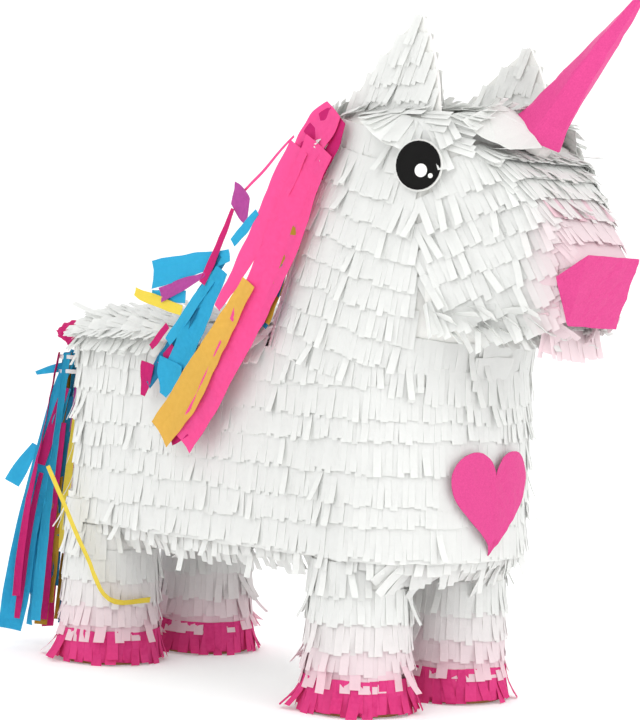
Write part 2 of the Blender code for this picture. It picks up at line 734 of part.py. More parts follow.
REARWARD = (-0.62, -0.78, 0.0)
SIDEWARD = (-0.15, -1.0, 0.0)
MANE = {
    "mane_pink": (PINK, [
        ((0.106, -0.076, 0.468), REARWARD, 0.024, 0.010),
        ((0.089, -0.084, 0.417), REARWARD, 0.034, 0.013),
        ((0.074, -0.095, 0.368), REARWARD, 0.034, 0.014),
        ((0.070, -0.106, 0.322), SIDEWARD, 0.034, 0.013),
        ((0.067, -0.1105, 0.285), SIDEWARD, 0.034, 0.013),
        ((0.060, -0.1105, 0.232), SIDEWARD, 0.020, 0.010)]),
    "mane_amber": (AMBER, [
        ((0.036, -0.1000, 0.322), SIDEWARD, 0.016, 0.012),
        ((0.026, -0.1090, 0.290), SIDEWARD, 0.026, 0.013),
        ((0.008, -0.1105, 0.255), SIDEWARD, 0.026, 0.013),
        ((-0.016, -0.1105, 0.208), SIDEWARD, 0.016, 0.010)]),
    "mane_turquoise": (TURQUOISE, [
        ((0.010, -0.0860, 0.324), (0.0, -0.7, 0.7), 0.022, 0.012),
        ((-0.012, -0.1030, 0.302), (0.0, -0.85, 0.5), 0.030, 0.013),
        ((-0.026, -0.1105, 0.275), SIDEWARD, 0.030, 0.013),
        ((-0.046, -0.1105, 0.238), SIDEWARD, 0.020, 0.010)]),
}
TAIL_LEVELS = [
    (TAIL_NECK_TOP, 0.0, TAIL_NECK_RADIUS, TAIL_NECK_RADIUS),
    (0.246, 0.0, TAIL_NECK_RADIUS, TAIL_NECK_RADIUS),
    (0.228, -0.005, 0.018, 0.020),
    (0.180, -0.012, 0.023, 0.027),
    (0.100, -0.021, 0.034, 0.036),
    (0.020, -0.026, 0.037, 0.037),
]


def build_mane(fitting_solids):
    for name, (colour, stations) in MANE.items():
        bunch = bunch_object(name, stations)
        for solid in fitting_solids:
            cut(bunch, solid)
        finish_object(bunch, colour)


def build_tail(trunk_coated):
    knot_centre = Vector((TAIL_X + KNOT_FORWARD, TAIL_Y, TAIL_KNOT_Z))
    bm = bmesh.new()
    bmesh.ops.create_uvsphere(bm, u_segments=16, v_segments=10, radius=1.0)
    bmesh.ops.scale(bm, verts=bm.verts, vec=KNOT_HALF_SIZE)
    bmesh.ops.translate(bm, verts=bm.verts, vec=knot_centre)
    finish_object(cut(mesh_object("tail_knot", bm), trunk_coated), PINK)

    pivot = Vector((TAIL_X, TAIL_Y, TAIL_KNOT_Z))
    rows = []
    for z, back, reach_x, reach_y in reversed(TAIL_LEVELS):
        centre = Vector((TAIL_X + back, TAIL_Y + 0.2 * back, z))
        rows.append([centre + Vector((reach_x * math.cos(angle), reach_y * math.sin(angle), 0))
                     for angle in [2 * math.pi * i / ROUND_STEPS for i in range(ROUND_STEPS)]])
    bundle = surface("tail_bundle", rows, closed=True, cap_top=True, cap_bottom=True)
    bundle.data.transform(Matrix.Translation(-pivot))
    bundle.location = pivot
    finish_object(bundle, TURQUOISE)
    for name, z in (("tail_tie_upper", TIE_UPPER_Z), ("tail_tie_lower", TIE_LOWER_Z)):
        inner = TAIL_NECK_RADIUS + FIT
        tie = sleeve_object(name, inner, inner + TIE_THICKNESS, z - TIE_WIDTH / 2 - TAIL_KNOT_Z,
                            z + TIE_WIDTH / 2 - TAIL_KNOT_Z, (TAIL_X, TAIL_Y))
        tie.location.z = TAIL_KNOT_Z
        finish_object(tie, WHITE)


# ------------------------------------------------------------------ assembly
def stand_on_origin():
    """Moves the stand so that the origin is under the middle of the model's box."""
    bpy.context.view_layer.update()
    depsgraph = bpy.context.evaluated_depsgraph_get()
    corners = []
    for obj in PARTS.objects:
        if obj.type == "MESH":
            ready = obj.evaluated_get(depsgraph)
            corners += [ready.matrix_world @ Vector(corner) for corner in ready.bound_box]
    xs = [corner.x for corner in corners]
    ys = [corner.y for corner in corners]
    STAND.location = (-(min(xs) + max(xs)) / 2, -(min(ys) + max(ys)) / 2, 0.0)
    bpy.context.view_layer.update()


def main():
    back_panel = build_trunk_card()
    belly_tissue, back_tissue = build_trunk_tissue()
    build_neck_card()

    neck_tissue = surface("neck_tissue", neck_rows(COAT), closed=True, cap_top=True)
    finish_object(thicken(neck_tissue, TISSUE), WHITE)

    neck_solid = solid_cutter("neck_solid", neck_rows(FIT))
    neck_coated = solid_cutter("neck_coated", neck_rows(COAT + 2 * FIT))
    snout_solid = solid_cutter("snout_solid", snout_rows(2 * FIT, lead=CARD))
    snout_coated = solid_cutter("snout_coated", snout_rows(COAT + FIT, lead=CARD))
    tray_solid = solid_cutter("tray_solid", tray_rows(FIT))
    trunk_coated = trunk_cutter("trunk_coated", COAT + FIT)

    cut(back_panel, neck_coated)
    cut(back_tissue, neck_coated)
    cut(neck_tissue, snout_solid)
    build_snout(neck_solid, neck_coated, snout_solid)
    muzzle_plate("muzzle_panel", FIT, CARD, 0.0, KRAFT)
    muzzle_plate("muzzle_patch", CARD + 2 * FIT, PAPER, MUZZLE_OVERLAP, PINK)
    build_legs(tray_solid, belly_tissue)
    build_back_fittings(back_panel, back_tissue)
    build_ears(neck_tissue, neck_solid, neck_coated)
    build_horn([snout_coated, neck_coated])
    build_eyes()
    build_heart()
    build_mane([trunk_coated, neck_coated])
    build_tail(trunk_coated)
    stand_on_origin()


main()
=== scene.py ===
# %% [markdown]
# # A fringed paper unicorn
# The real object is a card box in the shape of a unicorn, covered with strips of white
# tissue paper. Each strip is cut into fingers along its lower edge, and each strip hangs
# over the one below. This lesson keeps the card model as a fixed frame and builds the
# paper around it: fringe, coloured streamers, a paper horn, eyes, a heart and a muzzle.

# %% The frame, and the middle of its trunk from side to side
import math
import random

import bmesh
import bpy
from mathutils import Matrix, Vector, noise
from mathutils.bvhtree import BVHTree


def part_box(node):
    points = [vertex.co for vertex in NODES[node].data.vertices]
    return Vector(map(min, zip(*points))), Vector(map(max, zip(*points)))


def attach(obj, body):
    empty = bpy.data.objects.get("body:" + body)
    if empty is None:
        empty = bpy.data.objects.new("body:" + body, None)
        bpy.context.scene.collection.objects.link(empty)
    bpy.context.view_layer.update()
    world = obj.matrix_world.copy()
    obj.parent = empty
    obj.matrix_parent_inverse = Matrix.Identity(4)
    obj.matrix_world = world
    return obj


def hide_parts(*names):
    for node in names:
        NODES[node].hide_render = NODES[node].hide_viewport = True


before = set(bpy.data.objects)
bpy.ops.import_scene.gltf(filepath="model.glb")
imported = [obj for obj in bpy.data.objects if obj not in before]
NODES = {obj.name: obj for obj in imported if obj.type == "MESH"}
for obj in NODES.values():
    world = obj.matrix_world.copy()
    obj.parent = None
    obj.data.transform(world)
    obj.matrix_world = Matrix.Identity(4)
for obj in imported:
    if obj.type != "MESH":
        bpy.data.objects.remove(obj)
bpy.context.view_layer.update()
MM = 0.001
MIDDLE_Y = sum(corner.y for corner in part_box("trunk_tissue")) / 2

# %% [markdown]
# ## Camera, light and floor
# The toy is seen from ahead of its right shoulder, at chest height, through a long lens.
# A pale dish with a rising rim stands for floor and backdrop in one, so that no horizon
# shows from any side. Big soft lights keep the white paper white, with soft shadows in
# between the layers of fringe.

# %% Camera
EYE_POINT = Vector((1.4761, -1.47835, 0.3444))
TURN, TILT, ROLL = 0.7814, 0.0325, 0.0366
LENS_MM, SENSOR_MM = 122.75, 36.0

back = Vector((math.sin(TURN) * math.cos(TILT), -math.cos(TURN) * math.cos(TILT), math.sin(TILT)))
camera_data = bpy.data.cameras.new("camera")
camera_data.lens = LENS_MM
camera_data.sensor_width = SENSOR_MM
camera_data.clip_start = 0.05
camera = bpy.data.objects.new("camera", camera_data)
bpy.context.scene.collection.objects.link(camera)
level = (-back).to_track_quat("-Z", "Y").to_matrix()
camera.matrix_world = Matrix.Translation(EYE_POINT) @ (level @ Matrix.Rotation(ROLL, 3, "Z")).to_4x4()
bpy.context.scene.camera = camera
bpy.context.scene.view_settings.view_transform = "Standard"


# %% Lights
def area_light(name, place, size, power):
    data = bpy.data.lights.new(name, "AREA")
    data.shape = "DISK"
    data.size = size
    data.energy = power
    lamp = bpy.data.objects.new(name, data)
    bpy.context.scene.collection.objects.link(lamp)
    lamp.location = place
    lamp.rotation_euler = (Vector((0, 0, 0.25)) - Vector(place)).to_track_quat("-Z", "Y").to_euler()
    return lamp


area_light("key", (0.6, -2.6, 2.2), 2.2, 15)
area_light("front_fill", (2.8, 0.2, 1.6), 2.2, 17)
area_light("rear_fill", (-2.4, 1.6, 1.8), 2.4, 12)


# %% One function adds a node with its settings and links
def add(tree, kind, sockets=None, **settings):
    """A node with its settings, and its inputs as values or as links from other nodes' outputs."""
    made = tree.nodes.new(kind)
    for name, value in settings.items():
        setattr(made, name, value)
    for key, value in (sockets or {}).items():
        if isinstance(value, bpy.types.NodeSocket):
            tree.links.new(value, made.inputs[key])
        else:
            made.inputs[key].default_value = value
    return made


def linear(code):
    """An sRGB hex colour as the linear colour that the shaders work in."""
    parts = [int(code[i:i + 2], 16) / 255 for i in (0, 2, 4)]
    return [c / 12.92 if c <= 0.04045 else ((c + 0.055) / 1.055) ** 2.4 for c in parts] + [1.0]


world = bpy.data.worlds.new("studio")
world.use_nodes = True
world.node_tree.nodes["Background"].inputs["Color"].default_value = linear("ffffff")
world.node_tree.nodes["Background"].inputs["Strength"].default_value = 0.95
bpy.context.scene.world = world


# %% What every material here begins and ends with
def new_material(name):
    """A material with its node tree, its shader and the place on the object as an output."""
    made = bpy.data.materials.new(name)
    made.use_nodes = True
    tree = made.node_tree
    return made, tree, tree.nodes["Principled BSDF"], add(tree, "ShaderNodeTexCoord").outputs["Object"]


def blend(tree, share, first, second):
    """A mix of two colours, each a hex code or another node's output."""
    first, second = (linear(c) if isinstance(c, str) else c for c in (first, second))
    return add(tree, "ShaderNodeMix", {0: share, 6: first, 7: second}, data_type="RGBA").outputs[2]


def surface(tree, shader, colour, roughness, gloss):
    """Gives the shader its colour, and how matt and how glossy it is."""
    tree.links.new(colour, shader.inputs["Base Color"])
    shader.inputs["Roughness"].default_value = roughness
    shader.inputs["Specular IOR Level"].default_value = gloss


def relief(tree, shader, height, strength, depth_mm):
    """Makes the shader's surface look raised where height is large."""
    bump = add(tree, "ShaderNodeBump", {"Strength": strength, "Distance": depth_mm * MM, "Height": height})
    tree.links.new(bump.outputs["Normal"], shader.inputs["Normal"])


# %% Floor and backdrop
def matt_paint(name, light, dark):
    """Studio floor paint: matt, with the faint mottling of a roller."""
    made, tree, shader, place = new_material(name)
    mottle = add(tree, "ShaderNodeTexNoise", {"Vector": place, "Scale": 30.0})
    surface(tree, shader, blend(tree, mottle.outputs["Fac"], light, dark), roughness=0.9, gloss=0.1)
    shader.inputs["Emission Color"].default_value = linear("ffffff")
    shader.inputs["Emission Strength"].default_value = 0.20
    return made


def backdrop_dish(flat_radius=5.0, rim_radius=9.0, rim_height=5.0, around=96, up=14):
    """A flat floor that curves up into a wall far away on every side."""
    mesh = bmesh.new()
    middle = mesh.verts.new((0, 0, 0))
    rings = []
    for k in range(up + 1):
        share = k / up
        radius = flat_radius + (rim_radius - flat_radius) * math.sin(share * math.pi / 2)
        height = rim_height * (1 - math.cos(share * math.pi / 2))
        rings.append([mesh.verts.new((radius * math.cos(2 * math.pi * i / around),
                                      radius * math.sin(2 * math.pi * i / around), height))
                      for i in range(around)])
    for i in range(around):
        mesh.faces.new((middle, rings[0][i], rings[0][(i + 1) % around]))
        for low, high in zip(rings, rings[1:]):
            mesh.faces.new((low[i], high[i], high[(i + 1) % around], low[(i + 1) % around]))
    data = bpy.data.meshes.new("backdrop")
    mesh.to_mesh(data)
    mesh.free()
    data.polygons.foreach_set("use_smooth", [True] * len(data.polygons))
    made = bpy.data.objects.new("backdrop", data)
    bpy.context.scene.collection.objects.link(made)
    return made


backdrop = backdrop_dish()
backdrop.data.materials.append(matt_paint("matt_floor_paint", "fbfbfb", "f3f3f3"))

# %% [markdown]
# ## Papers and card
# Tissue paper is a thin matt sheet, softly crinkled, and it lets some light through, which
# makes a fringe look lighter at its lit edges. Three attributes made with the fringe steer
# it: `tint` differs from finger to finger, `along` runs from the root to the tip, and
# `blush` says where a pink underlayer glows through the white.

# %% Tissue paper
CRINKLE_MM = 4.0


def tissue_paper(name, light, dark, blush=None, crinkle=0.25, through=0.32):
    """Dyed or bleached tissue paper: matt, faintly crinkled, a little light passes through."""
    made, tree, shader, place = new_material(name)
    fibres = add(tree, "ShaderNodeTexNoise", {"Vector": place, "Scale": 1 / (CRINKLE_MM * MM), "Detail": 5.0})
    tint = add(tree, "ShaderNodeAttribute", attribute_name="tint")
    shade = add(tree, "ShaderNodeMix", {0: tint.outputs["Fac"], 2: 0.25, 3: 1.0}, data_type="FLOAT")
    mottled = add(tree, "ShaderNodeMath", {0: shade.outputs[0], 1: fibres.outputs["Fac"]},
                  operation="MULTIPLY")
    colour = blend(tree, mottled.outputs[0], light, dark)
    if blush:
        glow = add(tree, "ShaderNodeAttribute", attribute_name="blush")
        colour = blend(tree, glow.outputs["Fac"], colour, blush)
    creases = add(tree, "ShaderNodeTexNoise", {"Vector": place, "Scale": 0.4 / (CRINKLE_MM * MM),
                                               "Detail": 3.0, "Distortion": 1.2})
    surface(tree, shader, colour, roughness=0.78, gloss=0.2)
    relief(tree, shader, creases.outputs["Fac"], crinkle, depth_mm=0.9)
    if through:
        glowing = add(tree, "ShaderNodeBsdfTranslucent", {"Color": colour})
        both = add(tree, "ShaderNodeMixShader", {0: through, 1: shader.outputs[0], 2: glowing.outputs[0]})
        tree.links.new(both.outputs[0], tree.nodes["Material Output"].inputs["Surface"])
    return made


WHITE_TISSUE = tissue_paper("bleached_tissue_cut", "f8f9f7", "f0f1ef", blush="f9dde5")
PINK_TISSUE = tissue_paper("dyed_pink_tissue_cut", "f4529b", "d92a79")
STREAMER_PAPERS = {
    "pink": tissue_paper("dyed_pink_tissue_streamer", "ff66ae", "f0478f"),
    "magenta": tissue_paper("dyed_magenta_tissue_streamer", "dd2f80", "c02070"),
    "turquoise": tissue_paper("dyed_turquoise_tissue_streamer", "3fbfe6", "2ba3cf"),
    # Painted shade: the turquoise paper made darker, for turquoise ribbons seen in shadow under others.
    "turquoise_painted_shade": tissue_paper("turquoise_tissue_streamer_painted_shade", "2a86b0", "1a6f96"),
    "amber": tissue_paper("dyed_amber_tissue_streamer", "f2c862", "e2b44e"),
    "yellow": tissue_paper("dyed_yellow_tissue_streamer", "f5e25e", "e8d24a"),
    # Painted shade: the amber paper made darker, for amber ribbons seen in shadow under others.
    "amber_painted_shade": tissue_paper("amber_tissue_streamer_painted_shade", "c79b35", "a9822a"),
    "violet": tissue_paper("dyed_violet_tissue_streamer", "cf5fb4", "b04a9c"),
}


# %% Smooth glued paper and card
def glued_paper(name, light, dark, roughness=0.55, crumple=0.5, crumple_mm=9.0):
    """Heavier paper glued down by hand: folded facets show as soft ridges and a low sheen."""
    made, tree, shader, place = new_material(name)
    facets = add(tree, "ShaderNodeTexVoronoi", {"Vector": place, "Scale": 1 / (crumple_mm * MM)},
                 feature="F1")
    grain = add(tree, "ShaderNodeTexNoise", {"Vector": place, "Scale": 1 / (1.2 * MM), "Detail": 4.0})
    ridges = add(tree, "ShaderNodeMath", {0: grain.outputs["Fac"], 1: 0.25, 2: facets.outputs["Distance"]},
                 operation="MULTIPLY_ADD")
    surface(tree, shader, blend(tree, grain.outputs["Fac"], light, dark), roughness, gloss=0.15)
    relief(tree, shader, ridges.outputs[0], crumple, depth_mm=0.5)
    return made


HORN_PAPER = glued_paper("dyed_pink_crepe_rolled", "e65297", "cb3a80", roughness=0.5, crumple=0.6)
HEART_PAPER = glued_paper("dyed_pink_tissue_pasted", "e05093", "c43b7c",
                          roughness=0.6, crumple=0.7, crumple_mm=8)
BROW_PAPER = glued_paper("white_tissue_folded", "e2e3e0", "d7d8d5",
                         roughness=0.75, crumple=0.35, crumple_mm=8)
EYE_PAPER = glued_paper("black_card_punched", "060606", "0c0b0a",
                        roughness=0.6, crumple=0.08, crumple_mm=14)
WHITE_PAPER = glued_paper("white_paper_punched", "f6f6f3", "ecece8",
                          roughness=0.6, crumple=0.1, crumple_mm=12)
TWINE = glued_paper("white_cotton_twine", "f4f2f1", "dcdada", roughness=0.8, crumple=0.6, crumple_mm=1.5)

FLUTE_MM = 7.0


def corrugated_card(name, light, dark):
    """Corrugated card: liner paper in which the flutes show as faint stripes."""
    made, tree, shader, place = new_material(name)
    flutes = add(tree, "ShaderNodeTexWave", {"Vector": place, "Scale": 0.314 / (FLUTE_MM * MM),
                                             "Distortion": 0.6}, bands_direction="X")
    fibres = add(tree, "ShaderNodeTexNoise", {"Vector": place, "Scale": 1 / (0.8 * MM), "Detail": 6.0})
    surface(tree, shader, blend(tree, fibres.outputs["Fac"], light, dark), roughness=0.82, gloss=0.2)
    relief(tree, shader, flutes.outputs["Fac"], 0.3, depth_mm=0.4)
    return made


KRAFT_CARD = corrugated_card("kraft_corrugated_card", "b98f60", "a67c4f")
LINED_CARD = corrugated_card("white_lined_corrugated_card", "f1f1ee", "e6e6e2")
CARD_ENDINGS = ("_panel", "_plate", "_flap", "_crest", "_tube", "_cone")
CARD_STARTS = ("side_panel", "neck_side", "neck_front", "leg_tube", "sole_", "ear_card")
CARD_NODES = [name for name in NODES if name.endswith(CARD_ENDINGS) or name.startswith(CARD_STARTS)]
KEPT_NODES = {name: KRAFT_CARD if name.startswith(("sole_", "hanger")) else LINED_CARD
              for name in CARD_NODES}
for side in ("left", "right"):
    KEPT_NODES["eye_disc_" + side] = EYE_PAPER
    KEPT_NODES["eye_backing_" + side] = WHITE_PAPER
    KEPT_NODES["eye_glint_" + side] = WHITE_PAPER
for name, material in KEPT_NODES.items():
    NODES[name].data.materials.clear()
    NODES[name].data.materials.append(material)
print(len(KEPT_NODES), "CAD nodes keep their shape and get a paper or card finish")

# %% [markdown]
# ## Where the fringe goes
# A strip of fringe is glued along a line on the body. To find such a line the script looks
# at the outer skin of the frame: rays shot inwards, all round a ring or all along a line,
# stop on the skin, and each gives a place and the way the skin faces there. A ray that
# stops on another part, such as the snout where a ring is for the neck, makes a gap.

# %% The skin, and rays that find it
SKIN_NODES = [name for name in NODES if "tissue" in name or name.startswith("hoof_band")]
LARGEST_STEP = 0.03           # neighbours farther apart than this don't belong to one strip


def skin_tree():
    """One search tree of every paper skin, with the node that each of its faces belongs to."""
    points, faces, owners = [], [], []
    for name in SKIN_NODES:
        mesh = NODES[name].data
        start = len(points)
        points.extend(vertex.co.copy() for vertex in mesh.vertices)
        for polygon in mesh.polygons:
            faces.append([start + i for i in polygon.vertices])
            owners.append(name)
    return BVHTree.FromPolygons(points, faces), owners


SKIN, SKIN_OWNERS = skin_tree()
print(len(SKIN_OWNERS), "skin faces of", len(SKIN_NODES), "nodes")


def ray_hit(start, direction, reach, allowed):
    place, facing, index, _ = SKIN.ray_cast(start, direction, reach)
    if place is None or SKIN_OWNERS[index] not in allowed:
        return None
    return place, facing


def ring_hits(centre, normal, allowed, start_distance=0.6, rays=360):
    """What the rays find from all round a centre, in the plane square to normal, as runs of neighbours."""
    normal = Vector(normal).normalized()
    first = normal.cross(Vector((0, 1, 0))).normalized()
    second = normal.cross(first)
    found = []
    for k in range(rays):
        angle = 2 * math.pi * k / rays
        outward = first * math.cos(angle) + second * math.sin(angle)
        found.append(ray_hit(Vector(centre) + outward * start_distance, -outward, start_distance, allowed))
    return runs_of(found, closed=True)


def line_hits(start, end, direction, allowed, rays=90, reach=1.0):
    """What the rays find from places along a line, as runs of neighbours."""
    start, end = Vector(start), Vector(end)
    found = [ray_hit(start.lerp(end, k / (rays - 1)), Vector(direction), reach, allowed)
             for k in range(rays)]
    return runs_of(found, closed=False)


def runs_of(found, closed):
    """Splits hits at the gaps. A ring without a gap is one run that ends where it starts."""
    if all(found):
        return [found + [found[0]]] if closed else [found]
    if closed:
        gap = next(i for i, hit in enumerate(found) if hit is None)
        found = found[gap:] + found[:gap]
    runs, run = [], []
    for hit in found + [None]:
        if hit is None:
            if len(run) > 2:
                runs.append(run)
            run = []
        elif run and (hit[0] - run[-1][0]).length > LARGEST_STEP:
            if len(run) > 2:
                runs.append(run)
            run = [hit]
        else:
            run.append(hit)
    return runs


def evenly(run, pitch):
    """The run again, with its places a pitch apart and the way it faces smoothed."""
    lengths = [0.0]
    for (a, _), (b, _) in zip(run, run[1:]):
        lengths.append(lengths[-1] + (b - a).length)
    count = max(2, int(lengths[-1] / pitch))
    out, k = [], 0
    for i in range(count):
        at = lengths[-1] * (i + 0.5) / count
        while k < len(run) - 2 and lengths[k + 1] < at:
            k += 1
        step = max(lengths[k + 1] - lengths[k], 1e-9)
        share = (at - lengths[k]) / step
        near = [run[min(max(k + d, 0), len(run) - 1)][1] for d in (-2, -1, 0, 1, 2, 3)]
        facing = sum(near, Vector())
        out.append((run[k][0].lerp(run[k + 1][0], share), facing.normalized()))
    return out


# %% [markdown]
# ## The fringe itself
# A row is a header band, which is the uncut top of the paper strip, and one point for each
# finger below it. The points carry the finger's width, length and directions as attributes.
# A Geometry Nodes tree then puts a paper finger on each point and gives every finger its
# own small turn, lift and sway from seeded random numbers, because no two fingers of a
# hand-cut fringe hang alike. Thousands of fingers stay quick to make this way.

# %% A coat collects rows
FINGER_WIDTH = 0.005
SHORTEST_FINGER = 0.004
RAGGED = 0.0015               # a strip's edge wanders up and down by this
CLOSED_GAP = 0.004            # a strip whose ends are this close goes all round
ROOT_SINK = 0.0042
HEADER_SINK = 0.0046
BAND_THICKNESS = 0.0004
BAND_FLARE = 0.0006           # the band's lower edge stands this far off the skin
FLOAT_NAMES = ("reach", "wide", "lift", "blush", "stray", "tint", "along")
VECTOR_NAMES = ("out", "down")


class Coat:
    """The rows of fringe that make one piece."""

    def __init__(self, name):
        self.name = name
        self.points, self.faces = [], []
        self.values = {key: [] for key in FLOAT_NAMES + VECTOR_NAMES}

    def vertex(self, place, **values):
        self.points.append(place)
        for key in FLOAT_NAMES:
            self.values[key].append(values.get(key, 0.0))
        for key in VECTOR_NAMES:
            self.values[key].append(values.get(key, Vector((0, 0, 1))))
        return len(self.points) - 1

    def band(self, frames, height, closed):
        """The uncut strip that the fingers hang from: a thin closed band."""
        rings = []
        for place, facing, down, amount in frames:
            low = down * height
            top = place - facing * HEADER_SINK
            corners = (top, top + facing * BAND_THICKNESS,
                       top + low + facing * (BAND_THICKNESS + BAND_FLARE), top + low + facing * BAND_FLARE)
            rings.append([self.vertex(corner, blush=amount, tint=0.5) for corner in corners])
        count = len(rings)
        for i in range(count if closed else count - 1):
            a, b = rings[i], rings[(i + 1) % count]
            for j in range(4):
                k = (j + 1) % 4
                self.faces.append((a[j], b[j], b[k], a[k]))
        if not closed:
            self.faces.append((rings[0][3], rings[0][2], rings[0][1], rings[0][0]))
            self.faces.append(tuple(rings[-1]))

    def row(self, run, hang, length, width=FINGER_WIDTH, lift=0.045, blush=0.0, stray=0.6, header=0.030,
            sink=ROOT_SINK, keep=None):
        """One strip: its header band, and a point for each finger. It hangs the way of hang."""
        closed = (run[0][0] - run[-1][0]).length < CLOSED_GAP
        hang = Vector(hang)
        frames = []
        for place, facing in evenly(run, width):
            down = hang - facing * hang.dot(facing)
            if down.length < 0.05:
                continue
            down.normalize()
            slip = RAGGED * noise.noise(place * 45)
            amount = blush(place) if callable(blush) else blush
            frames.append((place + down * slip, facing, down, max(0.0, min(1.0, amount))))
        if len(frames) < 2:
            return
        if header:
            self.band(frames, header, closed)
        for place, facing, down, amount in frames:
            reach = length if keep is None else keep(place, down, length)
            if keep is not None and reach < 0.005:
                continue
            while reach > 0 and covers_an_eye(place, down, reach):
                reach -= 0.002
            if reach < SHORTEST_FINGER:
                continue
            calm = 0.0 if lies_quiet(place, down, length) else 1.0
            self.vertex(place - facing * sink, reach=reach, wide=width, lift=lift * (0.25 + 0.75 * calm),
                        blush=amount, stray=stray * calm, out=facing, down=down)


def covers_an_eye(place, down, reach):
    """Whether a finger's root, middle or tip comes too close to an eye's middle."""
    return any((place + down * reach * share - centre).length < EYE_COVER
               for centre in EYE_CENTRES for share in (0.0, 0.5, 1.0))


def lies_quiet(place, down, length):
    """Whether a finger lies under something that is glued on the fringe."""
    spots = [place + down * length * share for share in (0.3, 0.65, 1.0)]
    return any((spot - centre).length < radius for centre, radius in QUIET for spot in spots)


EYE_COVER = 0.0205            # no part of a finger comes closer to an eye's middle
EYE_CENTRES = []
QUIET = []                    # middle and radius of each place that has something glued on it
for side in ("left", "right"):
    low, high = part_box("eye_backing_" + side)
    EYE_CENTRES.append((low + high) / 2)
    QUIET.append((EYE_CENTRES[-1], 0.027))
low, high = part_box("heart")
QUIET.append(((low + high) / 2, 0.052))
low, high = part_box("muzzle_patch")
QUIET.append(((low + high) / 2, 0.036))
for name in ("mane_pink", "mane_amber", "mane_turquoise"):
    low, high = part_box(name)
    for share in (0.1, 0.3, 0.5, 0.7, 0.9):
        middle = (low.x + (high.x - low.x) * share, low.y, low.z + (high.z - low.z) * share)
        QUIET.append((Vector(middle), 0.03))


